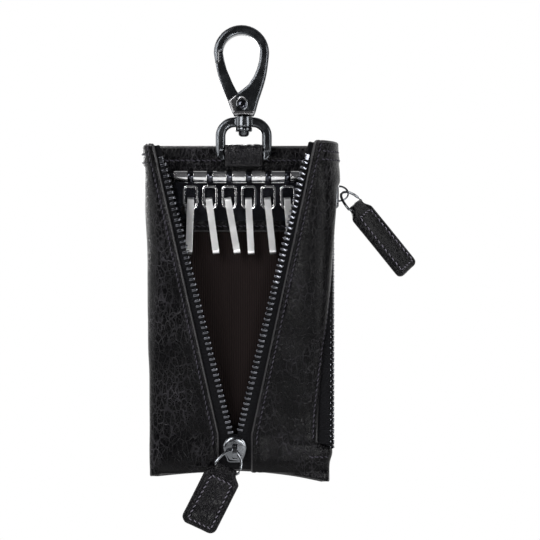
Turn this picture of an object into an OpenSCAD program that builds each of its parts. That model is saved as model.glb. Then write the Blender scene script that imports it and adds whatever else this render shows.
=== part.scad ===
// Leather key case with a swivel snap hook, a V-shaped main zip, a side zip and a row of six key hooks.
// The origin is the inner top of the snap hook's eye. The case hangs down along -Z and faces -Y.

/* [Snap hook] */
// Inner radius of the hook's eye
eye_r = 7.4; // [6:0.1:9]
// Width of the hook's ring, seen from the front
ring_w = 3.65; // [3:0.05:4.5]
// Depth of the hook's frame, front to back
hook_t = 4.8; // [4.4:0.1:6]
// Depth of the gate between the cheeks
gate_t = 2.6; // [2.2:0.1:2.8]
// Height of the hook's frame below the middle of its eye
hook_drop = 25.3; // [23:0.1:30]
// How far below the middle of the eye its lower corner lies
vertex_drop = 16; // [14:0.1:18]
// Rounding of the frame's edges
hook_edge = 0.8; // [0.4:0.05:1]
// Radius of the gate's rivet
rivet_r = 0.9; // [0.7:0.05:1.1]

/* [Swivel] */
// Outer width of the shackle
shackle_w = 22.4; // [20:0.1:26]
// Height of the shackle
shackle_h = 17; // [15:0.1:22]
// Width of the shackle's bar stock
stock_w = 3.9; // [3:0.1:4.5]
// Depth of the shackle's bar stock
stock_t = 3.2; // [2.6:0.1:3.6]
// Outer radius of the shackle's corners
shackle_r = 7.5; // [6:0.1:9]
// Radius of the shackle's barrel
barrel_r = 3.55; // [3:0.05:4]
// Radius of the swivel post
post_r = 1.6; // [1.3:0.05:2]
// Radius of the bar that the leather loop goes round
bar_r = 1.25; // [1:0.05:1.5]

/* [Case] */
// Width of the case between its folds
case_w = 71.2; // [64:0.2:80]
// Height of the case
case_h = 130; // [120:0.5:140]
// Depth of the case at its open top
mouth_d = 25; // [20:0.5:28]
// Thickness of the leather
leather_t = 1.3; // [1:0.05:1.6]
// Thickness of the lining
lining_t = 0.4; // [0.3:0.05:0.6]
// Height of the leather strip that carries the key row
facing_h = 33.6; // [31:0.2:40]

/* [Zips] */
// Pitch of the zip teeth on one tape
tooth_pitch = 2.2; // [2:0.05:2.6]
// Thickness of the closed chain
chain_t = 1.9; // [1.7:0.05:2.1]
// Thickness of the tape
tape_t = 0.5; // [0.4:0.05:0.6]
// Distance from the main zip's middle to the leather at the top
mouth_half = 31.2; // [28:0.1:32]
// Distance from the main zip's middle to the leather at the slider
foot_half = 7; // [6.4:0.1:8]
// Width of tape that shows beside the leather at the top
tape_show = 2.6; // [2.2:0.1:4]
// Width of the slider
slider_w = 9.3; // [8.8:0.1:9.6]
// Length of the slider
slider_l = 10.6; // [10:0.1:12]

/* [Key row] */
// Distance between two hooks
hook_pitch = 7.78; // [7.4:0.02:8.4]
// Number of hooks
hook_count = 6; // [6:1:6]
// Radius of the rod
rod_r = 1.5; // [1.2:0.05:1.7]
// Outer radius of the rolled knuckles
knuckle_r = 2.4; // [2.3:0.05:2.6]
// Width of a knuckle
knuckle_w = 5.4; // [4.8:0.1:5.6]
// Width of a stirrup
stirrup_w = 6; // [5.8:0.1:6.4]
// Width of a strap
strap_w = 2.6; // [2.4:0.1:3]
// Length of a strap
strap_l = 23; // [20:0.5:28]

/* [Pulls] */
// Width of a leather pull tab
tab_w = 15; // [12:0.2:17]
// Length of the main zip's pull tab
main_tab_l = 26.2; // [24:0.2:36]
// Length of the side zip's pull tab
side_tab_l = 33.6; // [26:0.2:36]
// Thickness of a leather pull tab
tab_t = 2.6; // [2.4:0.1:3.2]
// Radius of a pull ring's wire
wire_r = 0.4; // [0.35:0.05:0.5]

/* [Hidden] */

// Clearances and the overrun of cuts
run_gap = 0.05;
soft_gap = 0.3;
seat_gap = 0.1;
over = 1;

// Colours
gunmetal = "#3c3e42";
nickel = "#c9cbcd";
dark_steel = "#4a4c50";
black_leather = "#17161a";
brown_lining = "#2d1c18";
black_tape = "#121214";

// Places of the snap hook, worked out from its sizes
ring_r = eye_r + ring_w;
eye_z = -eye_r;
hook_x = -0.6;
hook_lean = 0.9;
hook_foot_z = eye_z - hook_drop;
vertex_lean = -1.4;
rivet_x = -0.2;
rivet_up = 4.6;
rivet_z = hook_foot_z + rivet_up;
gate_eye_r = 2.6;
gate_seam = 0.15;
cheek_gap = 0.1;
hook_half_shares = [[0.17, 0.948], [0.35, 0.872], [0.518, 0.76], [0.767, 0.552], [1, 0.36]];
eye_right_shares = [[0.2, 0.96], [0.42, 0.83], [0.6, 0.66], [0.8, 0.37], [0.92, 0.05]];
eye_left_shares = [[0.92, -0.3], [0.77, -0.47], [0.42, -0.79], [0.2, -0.92]];

// Places of the swivel
barrel_gap = 0.2;
barrel_h = 4.1;
barrel_top_z = hook_foot_z - barrel_gap;
barrel_foot_z = barrel_top_z - barrel_h;
washer_r = 3.4;
washer_h = 1.7;
peen_r = 2.2;
peen_h = 2;
post_sink = 1.2;
shackle_top_z = barrel_top_z - barrel_gap;
shackle_foot_z = shackle_top_z - shackle_h;
bar_up = 3.5;
bar_z = shackle_foot_z + bar_up;
bar_sink = 2.4;
stock_edge = 0.8;
inner_half = shackle_w / 2 - stock_w;

// Places of the case
case_x = -1.4;
top_over_bar = 2;
top_z = bar_z + top_over_bar;
fold_half = case_w / 2;
left_fold_x = case_x - fold_half;
right_fold_x = case_x + fold_half;
facing_y = 3;
facing_t = 1.2;
lining_y = facing_y + facing_t + seat_gap;
panel_y = lining_y + lining_t + seat_gap;
panel_back_y = panel_y + leather_t;
foot_left_drop = 2.4;
foot_right_drop = 4.9;
foot_z = top_z - case_h;
hem_left_drop = 1.4;
hem_right_drop = 0.1;

// Places of the main zip
zip_x = -3.2;
foot_d = 2.6;
foot_close_h = 4.5;
foot_pinch_share = 0.1;
slider_d = 6.2;
slider_up = 14.7;
closed_rise = 10;
zip_foot_z = foot_z + slider_up;
zip_top_drop = 2.8;
zip_top_z = top_z - zip_top_drop;
tape_under = leather_t / 2 + soft_gap + tape_t / 2;
zip_y_foot = panel_y - slider_d + tape_under;
zip_y_top = panel_y - mouth_d + tape_under;
teeth_half_top = mouth_half - tape_show;
apex_half = 1.3;
closed_slope = closed_rise / (zip_top_z - zip_foot_z);
closed_tilt = atan(closed_slope);
tape_foot_gap = 0.2;

// Places of the side zip
side_chain_x = right_fold_x + 1.4;
side_chain_y = 1.7;
side_edge_y = -1.9;
side_top_z = top_z - 15.2;
side_foot_z = foot_z + 9;
side_inset = 6.5;
side_foot_lift = 1.4;
side_apex_half = 1;
side_slider_w = 5.6;
side_slider_l = 9.6;
panel_side_gap = leather_t / 2 + seat_gap;
panel_right_in = 3;
lining_in = 5;

// Places of the key row
row_x = -1.55;
rod_y = facing_y - seat_gap - knuckle_r;
rod_z = bar_z - 10;
rod_over = 1.2;
plate_t = 0.6;
plate_h = 17.6;
plate_y = facing_y - seat_gap - plate_t;
plate_corner_r = 6.5;
stud_r = 2.4;
stud_h = 0.5;
stud_half = 21;
stud_drop = 13.4;
hook_hang_deg = 3;
stirrup_h = 9.4;
stirrup_wall = 0.8;
stirrup_d = 1.5;
neck_h = 3.8;
hook_eye_w = 1.8;
hook_eye_r = 2.3;
strap_t = 0.6;
strap_gap = 0.2;
strap_rise = 4.4;
strap_tilts = [-2, 8, 10, 3, 6, 4];
frame_top_r = 1.6;
frame_foot_r = 2.4;
shank_r = 0.8;

// Small sizes of the zips
tooth_l = 0.95;
tooth_jaw = 1.5;
tooth_head = 1.2;
jaw_gap = 0.1;
stop_l = 2.4;
slider_wall = 0.9;
slider_gap = 0.2;
slider_slot = 1;
flange_w = 0.6;
wedge_w = 2.4;
wedge_l = 3.6;
bail_w = 2;
bail_wall = 0.7;
bail_l = 6.6;
main_bail_h = 3.1;
main_bail_drop = 6.3;
main_eye_drop = 5.8;
main_eye_h = 1.4;
side_bail_h = 4.1;
side_bail_drop = 3.7;
side_eye_drop = 3.4;
side_eye_h = 1.35;

// Pulls: the wire's half width and reach, and how they lie
ring_half = 5.1;
ring_reach = 7.7;
ring_bulge = 0.5;
ring_foot_share = 0.08;
ring_joint = 0.2;
ring_steps = 12;
neck_half = 4.3;
neck_up = 1.3;
shoulder_down = 4.6;
tab_corner_r = 3.2;
tab_edge = 0.5;
// Directions of the pulls as they lie: across the tab, along the tab, and along the ring
main_across = [0.881, 0.15, -0.449];
main_along = [-0.469, -0.02, -0.87];
main_ring_along = [-0.35, -0.13, -0.93];
side_across = [0.497, 0.77, 0.403];
side_along = [0.63, 0, -0.777];
side_ring_along = [0.72, -0.1, -0.67];

// Steps of round and soft shapes
arc_steps = 20;
curve_steps = 3;
wire_sides = 10;
flap_rows = 13;
flap_cols = 12;

// Points on an arc, as [x, z]
function arc(c, r, from, to, n) = [
    for (i = [0 : n]) let (a = from + (to - from) * i / n) c + r * [cos(a), sin(a)]
];

// Smooth curve through points, without the first and last ones
function curve(p, n) = [
    for (i = [1 : len(p) - 3]) for (k = [0 : n - 1]) let (t = k / n)
        (p[i] * 2 + (p[i + 1] - p[i - 1]) * t
        + (p[i - 1] * 2 - p[i] * 5 + p[i + 1] * 4 - p[i + 2]) * t * t
        + (p[i] * 3 - p[i - 1] - p[i + 1] * 3 + p[i + 2]) * t * t * t) / 2
];

function unit2(v) = v / norm(v);
function unit3(v) = v / norm(v);
function mix(a, b, t) = a + (b - a) * t;
function ease(t) = let (s = min(max(t, 0), 1)) s * s * (3 - 2 * s);

// Closed outline drawn in by d, for points that run anticlockwise
function drawn_in(p, d) = [
    for (i = [0 : len(p) - 1])
        let (a = p[(i + len(p) - 1) % len(p)], b = p[(i + 1) % len(p)], t = unit2(b - a))
        p[i] + d * [-t[1], t[0]]
];

// Solid skinned over rings that have equal numbers of points
module skin(rings) {
    m = len(rings[0]);
    n = len(rings);
    points = [for (r = rings) each r];
    sides = [
        for (i = [0 : n - 2]) for (j = [0 : m - 1])
            let (a = i * m + j, b = i * m + (j + 1) % m) each [[a, b + m, b], [a, a + m, b + m]]
    ];
    polyhedron(points, concat([[for (j = [0 : m - 1]) j]], sides, [[for (j = [m - 1 : -1
        : 0]) (n - 1) * m + j]]));
}

// Upright plate over an anticlockwise [x, z] outline: levels are [y, drawn in by]
module upright_skin(outline, levels) {
    skin([for (l = levels) [for (p = drawn_in(outline, l[1])) [p[0], l[0], p[1]]]]);
}

// Upright plate with bevelled edges, centred on y = 0
module bevelled_plate(outline, t, edge) {
    upright_skin(outline, [[t / 2, edge], [t / 2 - edge, 0], [edge - t / 2, 0], [-t / 2, edge]]);
}

// Cutter for an opening whose rims are bevelled
module bevelled_cut(outline, t, edge) {
    upright_skin(outline, [
        [t / 2 + over, -edge - over], [t / 2 - edge, 0], [edge - t / 2, 0], [-t / 2 - over, -edge - over]
    ]);
}

// Flat upright plate with true arcs from its child, centred on y
module upright(t, y = 0) {
    translate([0, y + t / 2, 0]) rotate([90, 0, 0]) linear_extrude(t) children();
}

// Thin curved sheet between two equal grids of points
module sheet(a, b) {
    n = len(a);
    m = len(a[0]);
    k = n * m;
    points = concat([for (r = a) each r], [for (r = b) each r]);
    faces = [
        for (i = [0 : n - 2]) for (j = [0 : m - 2]) let (p = i * m + j) each [
            [p, p + 1, p + m + 1], [p, p + m + 1, p + m],
            [k + p, k + p + m + 1, k + p + 1], [k + p, k + p + m, k + p + m + 1]
        ]
    ];
    rows = [
        for (i = [0 : n - 2]) let (p = i * m, q = i * m + m - 1) each [
            [p, p + m, k + p + m], [p, k + p + m, k + p], [q, k + q, k + q + m], [q, k + q + m, q + m]
        ]
    ];
    ends = [
        for (j = [0 : m - 2]) let (p = j, q = (n - 1) * m + j) each [
            [p, k + p, k + p + 1], [p, k + p + 1, p + 1], [q, q + 1, k + q + 1], [q, k + q + 1, k + q]
        ]
    ];
    polyhedron(points, [for (f = concat(faces, rows, ends)) [f[0], f[2], f[1]]]);
}

// Grid of a surface at a distance d from it: positive is outward, away from the pouch
function grid(f, us, vs, d) = [
    for (u = us) [
        for (v = vs) let (
            e = 0.001,
            du = f(u + e, v) - f(u - e, v),
            dv = f(u, v + e) - f(u, v - e)
        ) f(u, v) + d * unit3(cross(du, dv))
    ]
];

// Wire bent along points, with round sections
module wire(path, r) {
    n = len(path);
    skin([
        for (i = [0 : n - 1]) let (
            t = unit3(path[min(i + 1, n - 1)] - path[max(i - 1, 0)]),
            side = unit3(cross(t, [0, 0, 1]) + cross(t, [0, 1, 0]) * 0.001),
            up = cross(side, t)
        ) [for (k = [0 : wire_sides - 1]) let (a = -360 * k / wire_sides) path[i] + r * (cos(a)
            * side + sin(a) * up)]
    ]);
}

// Snap hook

// Middle line of the hook's frame leans a little from its eye to its foot
function hook_axis(s) = hook_x + hook_lean * s;
hook_outline = concat(
    arc([hook_x, eye_z], ring_r, 0, 180 - 180 / arc_steps, arc_steps - 1),
    curve(concat(
        [[hook_x - ring_r, eye_z + ring_w], [hook_x - ring_r, eye_z]],
        [for (s = hook_half_shares) [hook_axis(s[0]) - ring_r * s[1], eye_z - hook_drop * s[0]]],
        [[hook_axis(1), hook_foot_z - ring_w]]
    ), curve_steps),
    [[hook_axis(1) - ring_r * hook_half_shares[4][1], hook_foot_z]],
    curve(concat(
        [[hook_axis(1), hook_foot_z - ring_w]],
        [for (i = [4 : -1 : 0]) let (s = hook_half_shares[i]) [hook_axis(s[0]) + ring_r * s[1],
            eye_z - hook_drop * s[0]]],
        [[hook_x + ring_r, eye_z], [hook_x + ring_r, eye_z + ring_w]]
    ), curve_steps)
);
hook_vertex = [hook_x + vertex_lean, eye_z - vertex_drop];
eye_outline = concat(
    arc([hook_x, eye_z], eye_r, 0, 180, arc_steps),
    [for (i = [3 : -1 : 0]) let (s = eye_left_shares[i]) [hook_x + eye_r * s[1], eye_z - vertex_drop
        * s[0]]],
    [hook_vertex],
    [for (i = [4 : -1 : 0]) let (s = eye_right_shares[i]) [hook_x + eye_r * s[1], eye_z - vertex_drop
        * s[0]]]
);

// Zone that the gate takes from the ring, with its stepped seam at the nose
seam_x = hook_x - eye_r - ring_w / 2;
seam_in_x = hook_x - eye_r / 2;
seam_out_x = hook_x - ring_r - over;
// The seam climbs as steeply as the nose does when the gate starts to open
seam_top_slope = 0.45;
seam_low_slope = 0.66;
seam_top_z = eye_z + 0.1 * ring_w;
seam_low_z = eye_z - 0.95 * ring_w;
cheek_left = [hook_x - ring_r * 0.52, rivet_z + 0.3 * gate_eye_r];
module gate_zone(gap) {
    polygon([
        [seam_x + gap, seam_top_z - gap], [seam_in_x, seam_top_z - gap + seam_top_slope
            * (seam_in_x - seam_x)],
        [hook_vertex[0], hook_vertex[1]], [rivet_x + gate_eye_r, rivet_z],
        [rivet_x, rivet_z + seam_gap_r], [cheek_left[0] - ring_w, rivet_z + seam_gap_r],
        [seam_out_x, seam_low_z - gap - seam_low_slope * (seam_x - seam_out_x)], [seam_x + gap,
            seam_low_z - gap]
    ]);
}
// Zone over the cheeks, where the frame leaves the whole depth to the gate
module nose_gap() {
    polygon([
        [seam_x, seam_top_z], [seam_in_x, seam_top_z + seam_top_slope * (seam_in_x - seam_x)], hook_vertex,
        cheek_left, [cheek_left[0] - ring_w, cheek_left[1] - ring_w / 4],
        [seam_out_x, seam_low_z - seam_low_slope * (seam_x - seam_out_x)], [seam_x, seam_low_z]
    ]);
}
// Slot between the cheeks, wide enough for the open gate
module cheek_slot() {
    translate([rivet_x, rivet_z]) circle(gate_eye_r + seam_gap_r, $fn = 48);
    polygon([
        [rivet_x - gate_eye_r - seam_gap_r, rivet_z], [cheek_left[0] - ring_w, rivet_z],
        [cheek_left[0] - ring_w, hook_vertex[1] + ring_w], [rivet_x + 0.8 * gate_eye_r,
            hook_vertex[1] + ring_w],
        [rivet_x + 0.8 * gate_eye_r, hook_vertex[1]], [rivet_x + gate_eye_r + seam_gap_r, rivet_z]
    ]);
}
seam_gap_r = 0.2;

module hook_body() {
    color(gunmetal) difference() {
        bevelled_plate(hook_outline, hook_t, hook_edge);
        bevelled_cut(eye_outline, hook_t, hook_edge / 2);
        upright(hook_t + 2 * over) nose_gap();
        upright(gate_t + 2 * cheek_gap) cheek_slot();
        translate([rivet_x, 0, rivet_z]) rotate([90, 0, 0])
            cylinder(h = hook_t + 2 * over, r = rivet_r + run_gap, center = true, $fn = 48);
        translate([hook_axis(1), 0, hook_foot_z - over])
            cylinder(h = over + post_sink, r = post_r + run_gap, $fn = 48);
    }
}

module hook_gate() {
    color(gunmetal) difference() {
        union() {
            intersection() {
                difference() {
                    bevelled_plate(hook_outline, gate_t, hook_edge / 4);
                    upright(gate_t + 2 * over) polygon(eye_outline);
                }
                upright(gate_t + 2 * over) gate_zone(gate_seam);
            }
            translate([rivet_x, 0, rivet_z]) rotate([90, 0, 0])
                cylinder(h = gate_t, r = gate_eye_r, center = true, $fn = 48);
        }
        translate([rivet_x, 0, rivet_z]) rotate([90, 0, 0]) {
            cylinder(h = gate_t + 2 * over, r = rivet_r + run_gap, center = true, $fn = 48);
            cylinder(h = spring_space, r = spring_r + 2 * spring_wire_r + seat_gap, center = true,
                $fn = 48);
        }
    }
}

spring_wire_r = 0.15;
spring_r = rivet_r + run_gap + 3 * spring_wire_r;
spring_turns = 3;
spring_space = gate_t * 0.65;
spring_l = spring_space - 4 * spring_wire_r;
spring_steps = 10;
module gate_spring() {
    color(nickel) translate([rivet_x, 0, rivet_z]) rotate([90, 0, 0]) wire([
        for (i = [0 : spring_turns * spring_steps]) let (a = 360 * i / spring_steps)
            [spring_r * cos(a), spring_r * sin(a), spring_l * (i / spring_turns / spring_steps - 0.5)]
    ], spring_wire_r);
}

rivet_head_r = 1.75;
rivet_head_h = 0.5;
module gate_rivet() {
    color(nickel) translate([rivet_x, 0, rivet_z]) rotate([90, 0, 0]) rotate_extrude($fn = 64) polygon([
        [0, hook_t / 2 + rivet_head_h], [rivet_head_r * 0.5, hook_t / 2 + rivet_head_h * 0.85],
        [rivet_head_r * 0.85, hook_t / 2 + rivet_head_h * 0.4], [rivet_head_r, hook_t / 2],
        [rivet_r, hook_t / 2], [rivet_r, -hook_t / 2], [rivet_head_r, -hook_t / 2],
        [rivet_head_r * 0.85, -hook_t / 2 - rivet_head_h * 0.4], [rivet_head_r * 0.5,
            -hook_t / 2 - rivet_head_h * 0.85],
        [0, -hook_t / 2 - rivet_head_h]
    ]);
}

module swivel_post() {
    washer_z = barrel_foot_z - seat_gap;
    color(dark_steel) translate([hook_axis(1), 0, 0]) rotate_extrude($fn = 64) polygon([
        [0, hook_foot_z + post_sink], [post_r, hook_foot_z + post_sink], [post_r, washer_z],
        [washer_r * 0.93, washer_z], [washer_r, washer_z - washer_h * 0.2], [washer_r,
            washer_z - washer_h * 0.8],
        [washer_r * 0.93, washer_z - washer_h], [peen_r, washer_z - washer_h],
        [peen_r, washer_z - washer_h - peen_h * 0.5], [peen_r * 0.8, washer_z - washer_h - peen_h * 0.85],
        [peen_r * 0.5, washer_z - washer_h - peen_h], [0, washer_z - washer_h - peen_h]
    ]);
}

// Swivel

// Section of the bar stock: u from the shackle's middle outward, v along its depth
module stock_section(u) {
    e = stock_edge;
    polygon([
        [u - stock_w / 2 + e, -stock_t / 2], [u + stock_w / 2 - e, -stock_t / 2], [u + stock_w / 2,
            e - stock_t / 2],
        [u + stock_w / 2, stock_t / 2 - e], [u + stock_w / 2 - e, stock_t / 2], [u - stock_w / 2 + e,
            stock_t / 2],
        [u - stock_w / 2, stock_t / 2 - e], [u - stock_w / 2, e - stock_t / 2]
    ]);
}
module shackle() {
    x = hook_axis(1);
    mid_r = shackle_r - stock_w / 2;
    leg_x = shackle_w / 2 - stock_w / 2;
    leg_top_z = shackle_top_z - shackle_r;
    color(gunmetal) translate([x, 0, 0]) difference() {
        union() {
            for (s = [0, 1]) mirror([s, 0, 0]) {
                translate([leg_x - mid_r, 0, leg_top_z]) rotate([90, 0, 0])
                    rotate_extrude(angle = 90, $fn = 96) stock_section(mid_r);
                translate([0, 0, shackle_foot_z]) linear_extrude(leg_top_z - shackle_foot_z)
                    stock_section(leg_x);
            }
            translate([mid_r - leg_x, 0, leg_top_z + mid_r]) rotate([0, 90, 0])
                linear_extrude(2 * (leg_x - mid_r)) rotate([0, 0, 180]) stock_section(0);
            translate([0, 0, barrel_foot_z]) cylinder(h = barrel_h, r = barrel_r, $fn = 64);
        }
        translate([0, 0, barrel_foot_z - over])
            cylinder(h = barrel_h + 2 * over, r = post_r + run_gap, $fn = 48);
        translate([0, 0, bar_z]) rotate([0, 90, 0])
            cylinder(h = 2 * (inner_half + bar_sink), r = bar_r + run_gap, center = true, $fn = 48);
        for (s = [0, 1]) mirror([s, 0, 0]) upright(stock_t + 2 * over) polygon([
            [inner_half + 0.45 * stock_w, shackle_foot_z - over], [inner_half + 0.45 * stock_w,
                shackle_foot_z],
            [shackle_w / 2 + over, shackle_foot_z + 0.55 * stock_w + over], [shackle_w / 2 + over,
                shackle_foot_z - over]
        ]);
    }
}

module shackle_bar() {
    color(dark_steel) translate([hook_axis(1), 0, bar_z]) rotate([0, 90, 0])
        cylinder(h = 2 * (inner_half + bar_sink - seat_gap), r = bar_r, center = true, $fn = 48);
}

// Case

loop_side_gap = 0.4;
loop_w = 2 * (inner_half - loop_side_gap);
loop_in_r = bar_r + soft_gap;
loop_out_r = loop_in_r + leather_t;
loop_tail = 5.6;
module hanger_loop() {
    tail_y = facing_y - seat_gap;
    tail_z = -loop_tail;
    color(black_leather) translate([hook_axis(1) - loop_w / 2, 0, bar_z]) rotate([90, 0, 90])
        linear_extrude(loop_w) difference() {
            union() {
                circle(loop_out_r, $fn = 64);
                polygon([
                    [-loop_out_r, 0], [-loop_out_r * 0.93, -loop_out_r * 0.5], [tail_y - 2 * leather_t,
                        tail_z * 0.8],
                    [tail_y - 1.9 * leather_t, tail_z], [tail_y, tail_z], [tail_y, -loop_out_r * 0.3],
                        [0, 0]
                ]);
            }
            circle(loop_in_r, $fn = 48);
            polygon([
                [-loop_in_r * 0.98, 0], [tail_y - leather_t * 1.1, -loop_tail * 0.62],
                [tail_y - leather_t, -loop_tail * 0.62], [loop_in_r * 0.98, 0]
            ]);
        }
}

// Lower edge of the case: its corners hang lower than its middle
function foot_drop(x) = let (s = (x - case_x) / fold_half)
    (s < 0 ? foot_left_drop : foot_right_drop) * pow(abs(s), 1.6);
foot_steps = 8;
module back_outline(side_in_l, side_in_r, top_in, foot_in) {
    l = left_fold_x + side_in_l;
    r = right_fold_x - side_in_r;
    polygon(concat(
        [[r, top_z - top_in], [l, top_z - top_in]],
        [for (i = [0 : foot_steps]) let (x = mix(l, r, i / foot_steps)) [x, foot_z
            + foot_in - foot_drop(x)]]
    ));
}
module back_panel() {
    color(black_leather) upright(leather_t, panel_y + leather_t / 2) difference() {
        back_outline(panel_side_gap, panel_side_gap, 0, 0);
        polygon([
            [right_fold_x - panel_right_in, side_foot_z - soft_gap], [right_fold_x + over,
                side_foot_z - soft_gap],
            [right_fold_x + over, side_top_z + over], [right_fold_x - panel_right_in, side_top_z + over]
        ]);
    }
}
module back_lining() {
    color(brown_lining) upright(lining_t, lining_y + lining_t / 2)
        back_outline(panel_side_gap + soft_gap, lining_in, lining_in, lining_t);
}
module facing_strip() {
    l = left_fold_x + panel_side_gap + 2 * soft_gap;
    r = right_fold_x - lining_in;
    color(black_leather) difference() {
        upright(facing_t, facing_y + facing_t / 2) polygon([
            [l, top_z - facing_h], [r, top_z - facing_h], [r, top_z], [l, top_z]
        ]);
        stud_places() translate([0, 0, -facing_y - facing_t - over])
            cylinder(h = facing_t + 2 * over, r = shank_r + run_gap, $fn = 32);
    }
}

// Depth of the case from its back panel to the front edge of the leather at a height
function depth(z) = z >= zip_foot_z
    ? mix(slider_d, mouth_d, (z - zip_foot_z) / (zip_top_z - zip_foot_z))
    : let (line = slider_d - (zip_foot_z - z) * closed_slope)
        foot_d + (line - foot_d) * sin(90 * min(max((z - foot_z) / foot_close_h, -foot_pinch_share), 1));
// Distance from the main zip's middle to the leather
function edge_half(z) = mix(foot_half, mouth_half, max((z - zip_foot_z) / (zip_top_z - zip_foot_z), 0));
function open_share(z) = min(max((z - foot_z) / case_h, 0), 1);
bulge_foot = 0.6;
bulge_top = 4;
function bulge(z) = mix(bulge_foot, bulge_top, open_share(z));

// Point of a cubic curve
function cubic(a, b, c, d, t) = let (s = 1 - t)
    a * s * s * s + b * 3 * s * s * t + c * 3 * s * t * t + d * t * t * t;

// Front leather: u is the height from foot to top, v goes from the fold to the zip
full_foot_share = 0.85;
full_top_share = 0.52;
edge_curl = 2;
hem_rate = 1.4;
head_bulge = 3.2;
function edge_point(side, z) = [zip_x + side * edge_half(z), panel_y - depth(z)];
function left_start(z) = [left_fold_x, panel_back_y];
// Between its ends the side zip takes the right fold's place, and its leather edge moves inward at the foot
function on_side_zip(z) = z > side_foot_z && z < side_top_z + over;
function side_open(z) = ease((side_top_z - side_slider_l - z) / (side_top_z - side_slider_l - side_foot_z));
function right_start(z) = on_side_zip(z)
    ? [side_chain_x - side_inset * side_open(z), side_edge_y + side_foot_lift * pow(side_open(z), 3)]
    : [right_fold_x, panel_back_y];
function flap_section(side, z, v) = let (
    a = side < 0 ? left_start(z) : right_start(z),
    d = edge_point(side, z),
    reach = a[1] - d[1],
    fullness = mix(full_foot_share, full_top_share, open_share(z)),
    slit = side > 0 && on_side_zip(z) ? side_open(z) : 0,
    wide = bulge(z) + (side > 0 && z >= side_top_z + over ? head_bulge : 0),
    c = d + [side * (fullness * abs(a[0] - d[0]) + edge_curl), 0],
    b = mix(a + [side * wide, -fullness * reach], a + (c - a) / 3, slit)
) cubic(a, b, c, d, v);
function flap_z(side, u, v) = let (
    foot_x = mix(case_x + side * fold_half, zip_x + side * foot_half, v),
    low = foot_z - foot_drop(foot_x),
    high = top_z - hem_drop(side) * ease(v * hem_rate)
) mix(low, high, u);
function flap(side, u, v) = let (z = flap_z(side, u, v), p = flap_section(side, z, v)) [p[0], p[1], z];

// Rows of the front leather; the right flap has pairs of close rows where the side zip starts and ends
notch = 0.002;
foot_shares = [0, 0.012, 0.03, 0.05];
upper_share = 0.1;
row_shares = concat(foot_shares, [for (i = [0 : flap_rows]) mix(upper_share, 1, i / flap_rows)]);
function side_share(z) = (z - foot_z) / case_h;
foot_share = side_share(side_foot_z);
head_share = side_share(side_top_z + over);
function right_flap(u, v) = let (
    z = flap_z(1, u, v),
    zs = u < foot_share ? min(z, side_foot_z) : u > head_share ? max(z, side_top_z + over)
        : min(max(z, side_foot_z + notch), side_top_z + over - notch),
    p = flap_section(1, zs, v)
) [p[0], p[1], z];
mid_rows = flap_rows - 2;
right_rows = concat(
    foot_shares, [foot_share - notch],
    [for (i = [0 : mid_rows]) mix(foot_share + 4 * notch, head_share - 4 * notch, i / mid_rows)],
    [head_share + notch, (1 + head_share) / 2, 1]
);
col_shares = [for (i = [0 : flap_cols]) i / flap_cols];
left_face = function (u, v) flap(-1, u, v);
right_face = function (u, v) right_flap(u, v);

// Grid of a sheet, where each row keeps to one side of a notch
module leather(f, us, vs, d, t) {
    sheet(grid(f, us, vs, d + t / 2), grid(f, us, vs, d - t / 2));
}
module left_flap() {
    color(black_leather) leather(left_face, row_shares, col_shares, 0, -leather_t);
}
module right_flap() {
    color(black_leather) leather(right_face, right_rows, col_shares, 0, leather_t);
}

// Linings inside the flaps, short of the zips
lining_cols = [for (i = [3 : flap_cols - 3]) col_shares[i]];
lining_off = leather_t / 2 + soft_gap / 2 + lining_t / 2;
module left_flap_lining() {
    color(brown_lining) leather(left_face, [for (u = row_shares) if (u >= upper_share && u < 0.95) u],
        lining_cols, lining_off, -lining_t);
}
right_lining_rows = [for (u = right_rows) if (u > foot_share + 6 * notch && u < head_share - 6 * notch) u];
module right_flap_lining() {
    color(brown_lining) leather(right_face, right_lining_rows, lining_cols, -lining_off, lining_t);
}

// Main zip

// Sheet whose rows are drawn at heights zs by a function that gives [x, y] points from fold to chain
module strip(row, zs, t) {
    function shifted(z, d) = let (p = row(z), n = len(p)) [
        for (i = [0 : n - 1]) let (k = unit2(p[min(i + 1, n - 1)] - p[max(i - 1, 0)]))
            [p[i][0] - d * k[1], p[i][1] + d * k[0], z]
    ];
    sheet([for (z = zs) shifted(z, t / 2)], [for (z = zs) shifted(z, -t / 2)]);
}
// Point under the front leather, moved into the pouch
function under_flap(side, z, v) = let (
    e = 0.01, q = flap_section(side, z, v), k = unit2(flap_section(side, z, v + e) - flap_section(side,
        z, v - e))
) q + tape_under * [side * k[1], -side * k[0]];
function chain_half(z) = mix(apex_half, teeth_half_top, (z - zip_foot_z) / (zip_top_z - zip_foot_z));
function chain_point(side, z) = [zip_x + side * chain_half(z), panel_y - depth(z) + tape_under];
tape_steps = 9;
function hem_drop(side) = side < 0 ? hem_left_drop : hem_right_drop;
function tape_zs(side) = let (high = top_z - hem_drop(side) - soft_gap)
    [for (i = [0 : tape_steps]) mix(zip_foot_z + tape_foot_gap, high, i / tape_steps)];
tape_hold_shares = [0.9, 0.95, 1];
function tape_row(side, z) = concat([for (v = tape_hold_shares) under_flap(side, z, v)],
    [chain_point(side, z)]);
module zip_tape(side) {
    color(black_tape) strip(function (z) tape_row(side, z), tape_zs(side), side * tape_t);
}
module zip_tape_left() { zip_tape(-1); }
module zip_tape_right() { zip_tape(1); }

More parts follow.
